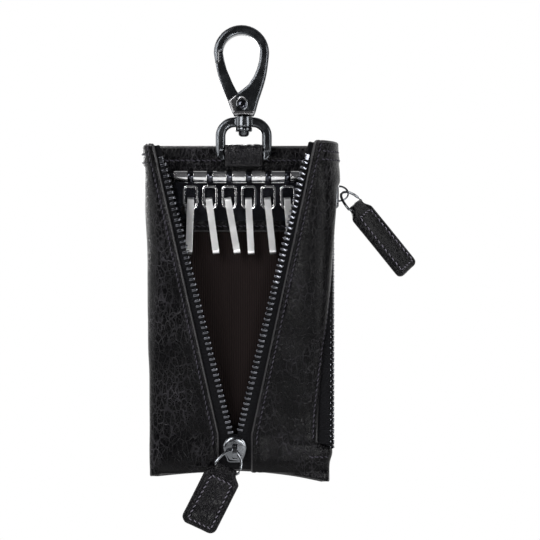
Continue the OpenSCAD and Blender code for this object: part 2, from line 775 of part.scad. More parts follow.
// Clamped piece of the chain: its jaws hold the tape's edge at the origin and its head points along +X
module clamp(l, head) {
    h = chain_t / 2;
    slot = tape_t / 2 + jaw_gap;
    linear_extrude(l, center = true) polygon([
        [-tooth_jaw, -h * 0.8], [-tooth_jaw * 0.7, -h], [head * 0.6, -h], [head, -h * 0.5],
        [head, h * 0.5], [head * 0.6, h], [-tooth_jaw * 0.7, h], [-tooth_jaw, h * 0.8],
        [-tooth_jaw, slot], [jaw_gap, slot], [jaw_gap, -slot], [-tooth_jaw, -slot]
    ]);
}
// Row of teeth from one point to another, with heads towards a direction and a stop at the end
module teeth(from, to, heads, count, shift) {
    along = unit3(to - from);
    across = unit3(heads - (heads * along) * along);
    normal = cross(along, across);
    for (i = [0 : count - 1]) {
        p = from + along * (shift + i * tooth_pitch);
        multmatrix([
            [across[0], normal[0], along[0], p[0]],
            [across[1], normal[1], along[1], p[1]],
            [across[2], normal[2], along[2], p[2]]
        ]) if (i < count - 1) clamp(tooth_l, tooth_head); else clamp(stop_l, tooth_head / 3);
    }
}
module main_teeth(side) {
    low = chain_point(side, zip_foot_z);
    high = chain_point(side, zip_top_z);
    from = [low[0], low[1], zip_foot_z];
    to = [high[0], high[1], zip_top_z];
    first = tape_foot_gap + tooth_l + (side > 0 ? tooth_pitch / 2 : 0);
    count = floor((norm(to - from) - first) / tooth_pitch);
    color(dark_steel) teeth(from, to, [-side, 0, 0], count, first);
}
module zip_teeth_left() { main_teeth(-1); }
module zip_teeth_right() { main_teeth(1); }

// Joined tape between the flaps, from the slider to the foot, with a notch for the slider's wedge
tail_steps = 6;
module zip_tail() {
    high = zip_foot_z - tape_foot_gap - soft_gap;
    low = foot_z + soft_gap;
    half = foot_half + 2 * apex_half;
    notch_half = wedge_w / 2 + soft_gap;
    color(black_tape) difference() {
        strip(
            function (z) let (y = panel_y - depth(z) + tape_under) [for (s = [-1 : 1]) [zip_x + s
                * half, y]],
            [for (i = [0 : tail_steps]) mix(low, high, i / tail_steps)], -tape_t
        );
        translate([zip_x - notch_half, zip_y_foot - slider_w, high - wedge_l - soft_gap])
            cube([2 * notch_half, 2 * slider_w, wedge_l + slider_w]);
    }
}

// Slider, drawn with the chain along Z, its face towards -Y, and the origin at the middle of its upper end
function shield(w, l) = concat(
    arc([0, -w / 2], w / 2, 0, 180, arc_steps / 2),
    [[-w * 0.43, -l * 0.72]], arc([-w * 0.2, -l + w * 0.16], w * 0.16, 180, 270, 3),
    arc([w * 0.2, -l + w * 0.16], w * 0.16, 270, 360, 3), [[w * 0.43, -l * 0.72]]
);
slider_inner = chain_t / 2 + slider_gap;
slider_crown = slider_wall * 0.8;
slider_face = slider_inner + slider_wall + slider_crown;
module slider(w, l) {
    outer = slider_inner + slider_wall;
    edge = shield(w, l);
    upright_skin(edge, [
        [-slider_inner, 0], [-outer, 0], [-outer - slider_crown * 0.6, slider_wall * 0.5],
            [-slider_face, slider_wall * 1.2]
    ]);
    upright_skin(edge, [[outer, slider_wall * 0.3], [outer - slider_wall * 0.3, 0], [slider_inner, 0]]);
    sunk = slider_inner + slider_wall / 4;
    upright(2 * sunk) polygon(concat(
        arc([0, -0.55 * wedge_w], wedge_w / 2, 0, 180, 8), [[0, -wedge_l]]
    ));
    for (s = [-1, 1]) for (y = [-1, 1])
        upright(sunk - slider_slot / 2, y * (sunk + slider_slot / 2) / 2) polygon([
            [s * w * 0.47, -l * 0.45], [s * (w * 0.47 - flange_w), -l * 0.45],
            [s * (w * 0.34 - flange_w), -l * 0.9], [s * w * 0.34, -l * 0.9]
        ]);
}
// Bail: an arch on the slider's face that the pull's ring passes through
bail_steps = 16;
function half_oval(rx, rz) = [for (i = [0 : bail_steps]) let (a = 90 + 180 * i / bail_steps) [rx
    * cos(a), rz * sin(a)]];
module bail(h, drop) {
    translate([-bail_w / 2, -slider_face, -drop]) rotate([90, 0, 90]) linear_extrude(bail_w) difference() {
        polygon(half_oval(h, bail_l / 2));
        polygon(half_oval(h - bail_wall, bail_l / 2 - bail_wall));
    }
}
main_slider_z = zip_foot_z - tape_foot_gap;
module at_main_slider() {
    translate([zip_x, zip_y_foot, main_slider_z]) rotate([closed_tilt, 0, 0]) children();
}
module main_slider() { color(nickel) at_main_slider() slider(slider_w, slider_l); }
module main_bail() { color(nickel) at_main_slider() bail(main_bail_h, main_bail_drop); }

// Side zip

module at_side_slider() {
    translate([side_chain_x, side_chain_y, side_top_z]) rotate([0, 0, 90]) children();
}
module side_slider() { color(nickel) at_side_slider() slider(side_slider_w, side_slider_l); }
module side_bail() { color(nickel) at_side_slider() bail(side_bail_h, side_bail_drop); }
side_zs = [for (i = [0 : tape_steps]) mix(side_foot_z + soft_gap,
    side_top_z - side_slider_l - soft_gap, i / tape_steps)];
side_lead = tooth_jaw + jaw_gap + tape_t / 2;
side_clear = chain_t / 2 + jaw_gap + tape_t / 2;
side_hold = 0.8;
module side_tape_front() {
    color(black_tape) strip(
        function (z) let (
            y = side_chain_y - side_apex_half,
            edge = under_flap(1, z, notch),
            next = under_flap(1, z, col_shares[1])
        ) [
            [side_chain_x, y], [side_chain_x, y - side_lead],
            [side_chain_x - mix(side_clear / 2, side_clear, side_open(z)), y - side_lead],
            edge - side_hold * unit2(next - edge), next, under_flap(1, z, col_shares[2])
        ],
        side_zs, tape_t
    );
}
module side_tape_back() {
    y = panel_y - soft_gap - tape_t / 2;
    x = right_fold_x - panel_right_in;
    color(black_tape) strip(
        function (z) [
            [side_chain_x, side_chain_y + side_apex_half], [side_chain_x, side_chain_y
                + side_apex_half + side_lead],
            [side_chain_x - side_clear, side_chain_y + side_apex_half + side_lead],
            [x + 2 * tape_t, y], [x - tooth_jaw, y]
        ],
        side_zs, -tape_t
    );
}
module side_teeth(side) {
    from = [side_chain_x, side_chain_y + side * side_apex_half, side_zs[0]];
    to = [from[0], from[1], side_zs[tape_steps]];
    first = tooth_l / 2 + (side > 0 ? tooth_pitch / 2 : 0);
    count = floor((to[2] - from[2] - first) / tooth_pitch);
    color(dark_steel) teeth(from, to, [0, -side, 0], count, first);
}
module side_teeth_front() { side_teeth(-1); }
module side_teeth_back() { side_teeth(1); }

// Key row

row_half = hook_count / 2 * hook_pitch + knuckle_w / 2;
function knuckle_x(k) = row_x + (k - hook_count / 2) * hook_pitch;
function hook_x_at(k) = row_x + (k - (hook_count + 1) / 2) * hook_pitch;
module stud_places() {
    for (s = [-1, 1]) translate([row_x + s * stud_half, 0, rod_z - stud_drop]) rotate([90, 0,
        0]) children();
}
module key_plate() {
    low = rod_z - plate_h;
    color(dark_steel) difference() {
        union() {
            upright(plate_t, plate_y + plate_t / 2) polygon(concat(
                [[row_x + row_half, rod_z - knuckle_r - seat_gap], [row_x - row_half,
                    rod_z - knuckle_r - seat_gap]],
                arc([row_x - row_half + plate_corner_r, low + plate_corner_r], plate_corner_r, 180,
                    270, arc_steps / 2),
                arc([row_x + row_half - plate_corner_r, low + plate_corner_r], plate_corner_r, 270,
                    360, arc_steps / 2)
            ));
            for (k = [0 : hook_count]) {
                translate([knuckle_x(k), rod_y, rod_z]) rotate([0, 90, 0])
                    cylinder(h = knuckle_w, r = knuckle_r, center = true, $fn = 64);
                translate([knuckle_x(k) - knuckle_w / 2, plate_y, rod_z - knuckle_r - 2 * seat_gap])
                    cube([knuckle_w, plate_t, knuckle_r + 2 * seat_gap]);
            }
        }
        translate([row_x, rod_y, rod_z]) rotate([0, 90, 0])
            cylinder(h = 2 * row_half + 2 * over, r = rod_r + run_gap, center = true, $fn = 64);
        stud_places() translate([0, 0, -plate_y - plate_t - over])
            cylinder(h = plate_t + 2 * over, r = shank_r + run_gap, $fn = 32);
    }
}
module key_rod() {
    color(nickel) translate([row_x, rod_y, rod_z]) rotate([0, 90, 0])
        cylinder(h = 2 * (row_half + rod_over), r = rod_r, center = true, $fn = 64);
}
module plate_rivets() {
    color(nickel) stud_places() rotate_extrude($fn = 64) polygon([
        [0, -plate_y + stud_h], [stud_r * 0.5, -plate_y + stud_h * 0.85], [stud_r * 0.85, -plate_y
            + stud_h * 0.4],
        [stud_r, -plate_y], [shank_r, -plate_y], [shank_r, -facing_y - facing_t], [0, -facing_y - facing_t]
    ]);
}

// Hook hanging from the rod, drawn at the rod's axis
module hang(k) {
    translate([hook_x_at(k), rod_y, rod_z]) rotate([-hook_hang_deg, 0, 0]) children();
}
function rounded_frame(w, top, low, rt, rl) = concat(
    arc([w / 2 - rt, top - rt], rt, 0, 90, 5), arc([rt - w / 2, top - rt], rt, 90, 180, 5),
    arc([rl - w / 2, low + rl], rl, 180, 270, 6), arc([w / 2 - rl, low + rl], rl, 270, 360, 6)
);
module stirrup(k) {
    top = -neck_h;
    low = top - stirrup_h;
    wall = stirrup_wall;
    color(nickel) hang(k) difference() {
        union() {
            rotate([0, 90, 0]) cylinder(h = hook_eye_w, r = hook_eye_r, center = true, $fn = 64);
            upright(stirrup_d) difference() {
                polygon(rounded_frame(stirrup_w, top, low, frame_top_r, frame_foot_r));
                polygon(rounded_frame(stirrup_w - 2 * wall, top - wall, low + wall, frame_top_r - wall,
                    frame_foot_r - wall));
            }
            translate([-hook_eye_w / 2, -stirrup_d / 2, top - wall / 2]) cube([hook_eye_w, stirrup_d,
                neck_h - hook_eye_r + wall]);
        }
        rotate([0, 90, 0]) cylinder(h = hook_eye_w + 2 * over, r = rod_r + run_gap, center = true,
            $fn = 64);
    }
}
function stadium(r, high, low) = concat(arc([0, high - r], r, 0, 180, 10), arc([0, low + r], r, 180,
    360, 10));
module strap(k) {
    bar = -neck_h - stirrup_h + stirrup_wall / 2;
    r = stirrup_d / 2 + strap_gap;
    color(nickel) hang(k) translate([0, 0, bar]) rotate([0, -strap_tilts[k - 1], 0])
        translate([-strap_w / 2, 0, 0]) rotate([90, 0, 90]) linear_extrude(strap_w) difference() {
            polygon(stadium(r + strap_t, strap_rise, strap_rise - strap_l));
            polygon(stadium(r, strap_rise - strap_t, strap_rise - strap_l + strap_t));
        }
}
module stirrup_1() { stirrup(1); }
module stirrup_2() { stirrup(2); }
module stirrup_3() { stirrup(3); }
module stirrup_4() { stirrup(4); }
module stirrup_5() { stirrup(5); }
module stirrup_6() { stirrup(6); }
module strap_1() { strap(1); }
module strap_2() { strap(2); }
module strap_3() { strap(3); }
module strap_4() { strap(4); }
module strap_5() { strap(5); }
module strap_6() { strap(6); }

// Pulls

// Places a child drawn upright so that its X runs across, its -Z runs along, and its origin is at p
function squared(along, across) = unit3(along - (along * unit3(across)) * unit3(across));
module lay(p, across, along) {
    x = unit3(across);
    z = -squared(along, across);
    y = cross(z, x);
    multmatrix([[x[0], y[0], z[0], p[0]], [x[1], y[1], z[1], p[1]], [x[2], y[2], z[2], p[2]]]) children();
}
// Ring with its arch at the origin and its bar at the foot
ring_path = concat(
    [[ring_joint, 0, -ring_reach], [ring_half * 0.94, 0, -ring_reach]],
    [for (i = [0 : ring_steps]) let (a = 180 * i / ring_steps)
        [(ring_half + ring_bulge * sin(2 * a)) * cos(a), 0, -ring_reach * (1 - ring_foot_share)
            * (1 - sin(a))]],
    [[-ring_half * 0.94, 0, -ring_reach], [-ring_joint, 0, -ring_reach]]
);
function tab_outline(l) = concat(
    [[neck_half, neck_up], [-neck_half, neck_up], [-neck_half * 1.05, -neck_up], [-tab_w / 2 * 0.96,
        -shoulder_down],
     [-tab_w / 2, -shoulder_down - neck_up]],
    arc([tab_corner_r - tab_w / 2, tab_corner_r - l], tab_corner_r, 180, 270, 6),
    arc([tab_w / 2 - tab_corner_r, tab_corner_r - l], tab_corner_r, 270, 360, 6),
    [[tab_w / 2, -shoulder_down - neck_up], [tab_w / 2 * 0.96, -shoulder_down], [neck_half * 1.05,
        -neck_up]]
);
module pull_tab(l) {
    difference() {
        bevelled_plate(tab_outline(l), tab_t, tab_edge);
        rotate([0, 90, 0]) cylinder(h = tab_w, r = wire_r + seat_gap, center = true, $fn = 32);
    }
}
main_eye_out = slider_face + main_eye_h;
main_eye = [
    zip_x, zip_y_foot - main_eye_out * cos(closed_tilt) + main_eye_drop * sin(closed_tilt),
    main_slider_z - main_eye_drop * cos(closed_tilt) - main_eye_out * sin(closed_tilt)
];
side_eye = [side_chain_x + slider_face + side_eye_h, side_chain_y, side_top_z - side_eye_drop];
module main_ring() {
    color(nickel) lay(main_eye, main_across, main_ring_along) wire(ring_path, wire_r);
}
module side_ring() {
    color(nickel) lay(side_eye, side_across, side_ring_along) wire(ring_path, wire_r);
}
module main_pull_tab() {
    color(black_leather) lay(main_eye + ring_reach * squared(main_ring_along, main_across),
        main_across, main_along) pull_tab(main_tab_l);
}
module side_pull_tab() {
    color(black_leather) lay(side_eye + ring_reach * squared(side_ring_along, side_across),
        side_across, side_along) pull_tab(side_tab_l);
}

hook_body();
hook_gate();
gate_rivet();
gate_spring();
swivel_post();
shackle();
shackle_bar();
hanger_loop();
back_panel();
back_lining();
facing_strip();
left_flap();
right_flap();
left_flap_lining();
right_flap_lining();
zip_tape_left();
zip_tape_right();
zip_teeth_left();
zip_teeth_right();
zip_tail();
main_slider();
main_bail();
main_ring();
main_pull_tab();
side_tape_front();
side_tape_back();
side_teeth_front();
side_teeth_back();
side_slider();
side_bail();
side_ring();
side_pull_tab();
key_plate();
key_rod();
plate_rivets();
stirrup_1();
stirrup_2();
stirrup_3();
stirrup_4();
stirrup_5();
stirrup_6();
strap_1();
strap_2();
strap_3();
strap_4();
strap_5();
strap_6();
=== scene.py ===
# %% [markdown]
# # A leather key case with a snap hook
# The case hangs from the eye of its snap hook. Metal pieces come from the CAD model as they are and
# only get a finish. Leather, tape, lining and thread are soft, so they are rebuilt here with folds
# and seams. Sizes in this file are in millimetres, and every mesh is turned into metres when it is
# made.

import math

import bmesh
import bpy
import numpy as np
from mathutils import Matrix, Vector, noise


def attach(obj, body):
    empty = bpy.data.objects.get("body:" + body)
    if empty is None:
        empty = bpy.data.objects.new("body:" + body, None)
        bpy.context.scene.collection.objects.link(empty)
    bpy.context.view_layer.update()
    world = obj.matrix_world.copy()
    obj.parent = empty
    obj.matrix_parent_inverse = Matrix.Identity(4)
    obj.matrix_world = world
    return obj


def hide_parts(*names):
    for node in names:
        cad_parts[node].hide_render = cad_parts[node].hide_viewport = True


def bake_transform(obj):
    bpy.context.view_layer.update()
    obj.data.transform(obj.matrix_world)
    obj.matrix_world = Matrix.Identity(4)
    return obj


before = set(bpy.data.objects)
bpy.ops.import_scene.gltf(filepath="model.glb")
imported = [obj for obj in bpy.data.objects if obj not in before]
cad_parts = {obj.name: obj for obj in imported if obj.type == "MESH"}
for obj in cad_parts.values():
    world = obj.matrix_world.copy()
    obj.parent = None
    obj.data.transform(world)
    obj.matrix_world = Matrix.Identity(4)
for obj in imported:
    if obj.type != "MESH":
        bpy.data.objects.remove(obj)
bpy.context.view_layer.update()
MM = 0.001

# %% [markdown]
# The photograph looks straight at the front of the case. A long lens keeps the lines parallel, as in
# the picture. At 600 mm the frame is 216 mm wide, so that one picture dot is 0.4 mm on the case.

# %% Camera
frame_width, camera_far, sensor_width = 216, 600, 36
frame_middle_x, frame_middle_z = 10.8, -94.1


def placed(name, data):
    """Puts a mesh, a lamp or a camera into the scene as an object."""
    thing = bpy.data.objects.new(name, data)
    bpy.context.scene.collection.objects.link(thing)
    return thing


camera_data = bpy.data.cameras.new("photo_camera")
camera_data.sensor_width = sensor_width
camera_data.lens = sensor_width * camera_far / frame_width
camera_data.clip_start = 0.01
camera = placed("photo_camera", camera_data)
camera.location = Vector((frame_middle_x, -camera_far, frame_middle_z)) * MM
camera.rotation_euler = (math.radians(90), 0, 0)
bpy.context.scene.camera = camera
bpy.context.scene.view_settings.view_transform = "Standard"
print("camera at", tuple(round(c, 3) for c in camera.location))

# %% [markdown]
# Shader graphs are easier to read as sums than as boxes. `Value` wraps one socket, and adding or
# multiplying it adds a Math node. The reflected forms make `1 - mask` work as well.


# %% Shader sums
class Value:
    """A number that changes over a surface, which can be added to and multiplied."""

    def __init__(self, finish, socket):
        self.finish = finish
        self.socket = socket

    def math(self, operation, *others, first=True):
        values = (self,) + others if first else others + (self,)
        return self.finish.node("ShaderNodeMath", {"operation": operation}, dict(enumerate(values)))

    def __add__(self, other):
        return self.math("ADD", other)

    def __sub__(self, other):
        return self.math("SUBTRACT", other)

    def __mul__(self, other):
        return self.math("MULTIPLY", other)

    def __truediv__(self, other):
        return self.math("DIVIDE", other)

    def __pow__(self, other):
        return self.math("POWER", other)

    def __rsub__(self, other):
        return self.math("SUBTRACT", other, first=False)

    __radd__ = __add__
    __rmul__ = __mul__

    def step(self, low, high):
        """0 below low, 1 above high, and a smooth rise between them."""
        settings = {"interpolation_type": "SMOOTHSTEP"}
        return self.finish.node("ShaderNodeMapRange", settings, {0: self, 1: low, 2: high})


print("a Value can be added, multiplied and stepped")

# %% [markdown]
# `Finish` is one material, or the world. Its `node` method adds any node from a type, its settings,
# and the values or links of its sockets. The other methods are the few patterns that the finishes of
# this case are mixed from. They all measure in millimetres, so that a pattern's size can be checked
# against the photograph.

# %% One finish
BAND_REPEAT = 0.314  # Blender repeats its bands after this much of the scaled place


class Finish:
    """One node tree: a material's, or the world's."""

    def __init__(self, owner):
        owner.use_nodes = True
        self.owner = owner
        self.tree = owner.node_tree
        self.tree.nodes.clear()

    def node(self, kind, settings=None, links=None, out=0):
        made = self.tree.nodes.new(kind)
        for name, value in (settings or {}).items():
            setattr(made, name, value)
        for name, value in (links or {}).items():
            if isinstance(value, Value):
                self.tree.links.new(value.socket, made.inputs[name])
            else:
                made.inputs[name].default_value = value
        return Value(self, made.outputs[out]) if made.outputs else made

    def blend(self, share, first, second):
        """Colour between two colours."""
        return self.node("ShaderNodeMix", {"data_type": "RGBA"}, {0: share, 6: first, 7: second}, out=2)

    def place(self, stretch=(1, 1, 1), turn=(0, 0, 0)):
        """Place on the object in millimetres, stretched and turned."""
        spot = self.node("ShaderNodeTexCoord", out=3)
        size = tuple(s / MM for s in stretch)
        return self.node("ShaderNodeMapping", None, {"Vector": spot, "Rotation": turn, "Scale": size})

    def across(self, place, axis):
        """One of the three numbers of a place."""
        return self.node("ShaderNodeSeparateXYZ", None, {0: place}, out=axis)

    def clouds(self, place, size, detail=3, rough=0.5):
        """Soft noise whose patches are about that many millimetres wide."""
        links = {"Vector": place, "Scale": 1 / size, "Detail": detail, "Roughness": rough}
        return self.node("ShaderNodeTexNoise", None, links)

    def warped(self, place, size, amount):
        """The same place, moved about by noise."""
        vector = "ShaderNodeVectorMath"
        links = {"Vector": place, "Scale": 1 / size, "Detail": 2}
        move = self.node("ShaderNodeTexNoise", None, links, out=1)
        centred = self.node(vector, {"operation": "SUBTRACT"}, {0: move, 1: (0.5, 0.5, 0.5)})
        scaled = self.node(vector, {"operation": "SCALE"}, {0: centred, 3: amount})
        return self.node(vector, {"operation": "ADD"}, {0: place, 1: scaled})

    def cracks(self, place, size):
        """Distance to the borders of cells of that size: 0 on a border."""
        links = {"Vector": place, "Scale": 1 / size}
        return self.node("ShaderNodeTexVoronoi", {"feature": "DISTANCE_TO_EDGE"}, links)

    def bands(self, place, size, axis="X"):
        """Waves across an axis, one every so many millimetres."""
        settings = {"wave_type": "BANDS", "bands_direction": axis}
        return self.node("ShaderNodeTexWave", settings, {"Vector": place, "Scale": BAND_REPEAT / size})

    def bump(self, height, depth, strength=1.0, over=None):
        """Normal from a height, where 1 stands for depth millimetres, on top of another normal."""
        links = {"Height": height, "Distance": depth * MM, "Strength": strength}
        if over is not None:
            links["Normal"] = over
        return self.node("ShaderNodeBump", None, links)

    def soft_edges(self, radius):
        """Normal of the shape with its edges rounded by that many millimetres."""
        return self.node("ShaderNodeBevel", {"samples": 6}, {"Radius": radius * MM})

    def rays(self, kind):
        """1 on the rays of one kind, such as those that start at the camera, and 0 on others."""
        path = self.node("ShaderNodeLightPath").socket.node
        return Value(self, path.outputs[f"Is {kind} Ray"])

    def surface(self, links):
        shader = self.node("ShaderNodeBsdfPrincipled", None, links)
        self.node("ShaderNodeOutputMaterial", None, {"Surface": shader})
        return self.owner


def finish(name):
    return Finish(bpy.data.materials.new(name))


print("finish methods:", sum(not name.startswith("_") for name in vars(Finish)))

# %% [markdown]
# The studio is plain: a white surround behind the case and a dimmer room in front, so that black
# leather stays black. The world could be one grey, but then a white ground would also grey the
# leather. So its colour depends on the ray: the camera sees white, and mirrors and glass see white
# only behind the case.

# %% Studio
room = bpy.data.worlds.new("studio")
bpy.context.scene.world = room
studio = Finish(room)
behind = studio.across(studio.node("ShaderNodeTexCoord", out=0), 1).step(-0.1, 0.6)
beyond = (studio.rays("Glossy") + studio.rays("Transmission")) * behind
white_share = (studio.rays("Camera") + beyond).math("MINIMUM", 1.0)
room_colour = studio.blend(white_share, (0.05, 0.05, 0.053, 1), (1, 1, 1, 1))
background = studio.node("ShaderNodeBackground", None, {"Color": room_colour, "Strength": 1.0})
studio.node("ShaderNodeOutputWorld", None, {"Surface": background})
print("studio world:", room.name)

# %% [markdown]
# Six soft lamps light the case. The key lamp stands high on the left. The others fill the right, the
# foot, the left edge and the far side. They are wide, because metal and leather mirror them, and a
# small lamp would show as a dot.

# %% Lamps
lamp_target = Vector((0, 0, -100)) * MM
lamps = [  # name, place, width, height, power in watts
    ("key_lamp", (-420, -620, 220), 420, 520, 6),
    ("fill_lamp", (620, -420, -40), 260, 620, 3),
    ("back_lamp", (-250, 700, 200), 500, 500, 5),
    ("low_lamp", (150, -500, -520), 500, 200, 1.8),
    ("front_lamp", (190, -820, -260), 170, 190, 1.6),
    ("edge_lamp", (-820, -60, 60), 420, 700, 2.5),
]
for name, place, width, height, power in lamps:
    data = bpy.data.lights.new(name, "AREA")
    data.shape = "RECTANGLE"
    data.size, data.size_y = width * MM, height * MM
    data.energy = power
    lamp = placed(name, data)
    lamp.location = Vector(place) * MM
    lamp.rotation_euler = (lamp_target - lamp.location).to_track_quat("-Z", "Y").to_euler()
print("lamps:", len(lamps))

# %% [markdown]
# The floor lies well below the case, because the case hangs. Part of its white is a glow, seen by the
# camera, in reflections and through glass, so that it stays white in shade. The rest is matt paper,
# which keeps the object's shadow.

# %% Floor
floor_r, floor_down, glow_share = 950, 420, 0.65
floor_mesh = bpy.data.meshes.new("floor")
floor_maker = bmesh.new()
bmesh.ops.create_circle(floor_maker, cap_ends=True, radius=floor_r * MM, segments=96)
floor_maker.to_mesh(floor_mesh)
floor_maker.free()
floor = placed("floor", floor_mesh)
floor.location = (0, 0, -floor_down * MM)
paper = finish("studio_paper")
paper_tone = paper.blend(paper.clouds(paper.place(), 90), (0.84, 0.84, 0.84, 1), (0.87, 0.87, 0.87, 1))
matt = paper.node("ShaderNodeBsdfPrincipled", None, {"Base Color": paper_tone, "Roughness": 0.9})
glow = paper.node("ShaderNodeEmission", None, {"Color": paper_tone, "Strength": 1.0})
looked_at = paper.rays("Camera") + paper.rays("Glossy") + paper.rays("Transmission")
in_view = looked_at.math("MINIMUM", 1.0) * glow_share
sheet = paper.node("ShaderNodeMixShader", None, {0: in_view, 1: matt, 2: glow})
paper.node("ShaderNodeOutputMaterial", None, {"Surface": sheet})
floor_mesh.materials.append(paper.owner)
print("floor is", floor_down, "mm below the hook's eye")

# %% [markdown]
# ## Leather
# Smooth cowhide is black, a little glossy, and its skin breaks into fine cells with longer creases
# where the hide has been bent. The cells and creases are borders of noisy cells at three sizes. They
# go into the height, so that they catch the light. Their lines are also painted paler in the colour,
# as a painted highlight along the creases, stronger where the hide is bent and worn.

# %% Leather finish
# The first tone is the colour of the painted highlight along the creases.
crease_highlight_tone, worn_gain = (0.034, 0.032, 0.037, 1), 2.2


def leather_finish(name, tone=(0.0008, 0.0007, 0.001), crease_size=2.3, turn=0.35, gloss=0.1, depth=0.1):
    """Creases are crease_size apart and lean by turn; depth is the height of the relief."""
    hide = finish(name)
    spot = hide.place()
    cells = hide.cracks(hide.warped(spot, 2.5, 1.3), 0.75).step(0.0, 0.16)
    long_way = hide.warped(hide.place((1, 1, 0.5), (0.0, turn, 0.0)), 3.0, 2.6)
    creases = hide.cracks(long_way, crease_size).step(0.0, 0.1)
    short_way = hide.warped(hide.place((1, 1, 0.7), (0, -turn, 0)), 2.0, 1.8)
    fine_creases = hide.cracks(short_way, 1.3).step(0.0, 0.07)
    bent = hide.clouds(spot, 22, 2).step(0.4, 0.66)
    worn = hide.clouds(spot, 14, 4).step(0.45, 0.75)
    height = cells * 0.07 + creases * (0.35 + bent * 0.8) + fine_creases * (bent * 0.7 + 0.2)
    height = height + hide.clouds(spot, 9, 3) * 0.8
    tint = hide.blend(worn, tone + (1,), tuple(c * worn_gain for c in tone) + (1,))
    lines = (1 - creases).math("MAXIMUM", (1 - fine_creases) * 0.5)
    # The crease lines are painted paler: a painted highlight where the creases would catch the light.
    wear_and_sheen = lines * (0.16 + bent * 0.84) * (0.35 + worn * 0.65)
    return hide.surface({
        "Base Color": hide.blend(wear_and_sheen, tint, crease_highlight_tone),
        "Roughness": 0.15 + hide.clouds(spot, 7, 4) * 0.16 + (1 - cells) * 0.04,
        "Normal": hide.bump(height, depth),
        "Specular IOR Level": gloss,
    })


black_leather = leather_finish("black_cowhide")
tab_leather = leather_finish("tab_cowhide", (0.0012, 0.0012, 0.0016), 1.7, 0.9, 0.12, 0.14)
loop_leather = leather_finish("loop_cowhide", (0.002, 0.0016, 0.003), 1.6, 1.4, 0.35, 0.5)
print("leather finishes:", black_leather.name, tab_leather.name, loop_leather.name)

# %% [markdown]
# Cut leather edges are painted with a thick dark ink, so they are more even and a little glossier than
# the skin. A finish of its own is simpler than a mask on the leather, because every sheet has its rim
# as separate faces.

# %% Painted edge
ink = finish("edge_paint")
ink_spot = ink.place()
painted_edge = ink.surface({
    "Base Color": ink.blend(ink.clouds(ink_spot, 3), (0.006, 0.006, 0.0065, 1), (0.03, 0.028, 0.03, 1)),
    "Roughness": 0.28 + ink.clouds(ink_spot, 1.2) * 0.2,
    "Specular IOR Level": 0.4,
    "Normal": ink.bump(ink.clouds(ink_spot, 0.8, 4), 0.05, 0.7),
})
print("edge finish:", painted_edge.name)

# %% [markdown]
# Sewing thread is twisted from plies, which show as slanting bands. The thread of the case is nearly
# as dark as its leather, and the thread of the pulls is a paler grey.

# %% Thread
thread_twist = 0.45


def thread_finish(name, dark, light):
    yarn = finish(name)
    plies = yarn.bands(yarn.place((1, 1, 1), (0.0, 0.8, 0.5)), thread_twist)
    tint = yarn.blend(plies * 0.7 + yarn.clouds(yarn.place(), 6) * 0.3, dark, light)
    return yarn.surface({"Base Color": tint, "Roughness": 0.62, "Normal": yarn.bump(plies, 0.05, 0.8)})


dark_thread = thread_finish("dark_thread", (0.006, 0.005, 0.009, 1), (0.036, 0.03, 0.05, 1))
pull_thread = thread_finish("pull_thread", (0.04, 0.037, 0.048, 1), (0.19, 0.175, 0.22, 1))
print("thread finishes:", dark_thread.name, pull_thread.name)

# %% [markdown]
# The lining is a ribbed brown cloth, and the zip's tape is black twill, whose threads cross at a
# slant. Both are too fine to model, so bands make the weave in colour, roughness and height.

# %% Lining and tape
cloth = finish("ribbed_lining")
cloth_spot = cloth.warped(cloth.place(), 12, 0.5)
ribs, weft = cloth.bands(cloth_spot, 0.9, "X"), cloth.bands(cloth_spot, 0.35, "Z")
cloth_share = ribs * 0.75 + cloth.clouds(cloth.place(), 8) * 0.25
brown_lining = cloth.surface({
    "Base Color": cloth.blend(cloth_share, (0.0035, 0.0019, 0.0018, 1), (0.012, 0.0065, 0.006, 1)),
    "Roughness": 0.72 + weft * 0.14,
    "Specular IOR Level": 0.15,
    "Normal": cloth.bump(ribs + weft * 0.3, 0.12, 0.8),
})

webbing = finish("woven_tape")
webbing_spot = webbing.place()
slanted = [webbing.bands(webbing.place((1, 1, 1), (0, lean, 0)), 0.42, "X") for lean in (0.7, -0.7)]
herring = slanted[0] * slanted[1]
tape_rows = webbing.bands(webbing_spot, 0.62, "Z")
webbing_share = herring * 0.8 + webbing.clouds(webbing_spot, 5) * 0.2
black_tape = webbing.surface({
    "Base Color": webbing.blend(webbing_share, (0.0012, 0.0012, 0.0016, 1), (0.009, 0.009, 0.0115, 1)),
    "Roughness": 0.66 + tape_rows * 0.14,
    "Specular IOR Level": 0.1,
    "Normal": webbing.bump(herring + tape_rows * 0.8, 0.12, 0.9),
})
print("cloth finishes:", brown_lining.name, black_tape.name)

# %% [markdown]
# ## Metal
# Plated zinc is dark gunmetal on the snap hook, bright nickel on the key row and black nickel on the
# zips. Real plating is never even: it has faint clouds, hairline scratches along the way it was
# polished, and rubbed spots. All of these only change roughness and colour a little. Edges that were
# tumbled are rounded by a bevel in the normal.

# %% Metal finish
plate_depth = 0.012


def metal_finish(name, tone, dull, wave=0.0, edge=0.0, painted_light_marks=None):
    """wave is how uneven the metal is, edge how round its edges look, and the last argument adds painted
    light and relief of its own.
    """
    plate = finish(name)
    spot = plate.place()
    hair = plate.clouds(plate.place((1, 1, 0.06)), 0.3, 4, 0.7)
    wear_and_sheen = plate.clouds(spot, 6, 3).step(0.42, 0.7)
    tint = plate.blend(wear_and_sheen, tone + (1,), tuple(min(c * 1.35, 0.95) for c in tone) + (1,))
    height = hair * 0.5 + plate.clouds(spot, 0.5, 3) * 0.3 + plate.clouds(spot, 5, 1) * wave
    if painted_light_marks:
        tint, height = painted_light_marks(plate, spot, tint, height)
    return plate.surface({
        "Base Color": tint,
        "Metallic": 1.0,
        "Roughness": dull + hair * 0.12 + wear_and_sheen * 0.05,
        "Normal": plate.bump(height, plate_depth, 0.6, plate.soft_edges(edge) if edge else None),
    })


print("the plating's relief is", plate_depth, "mm deep")
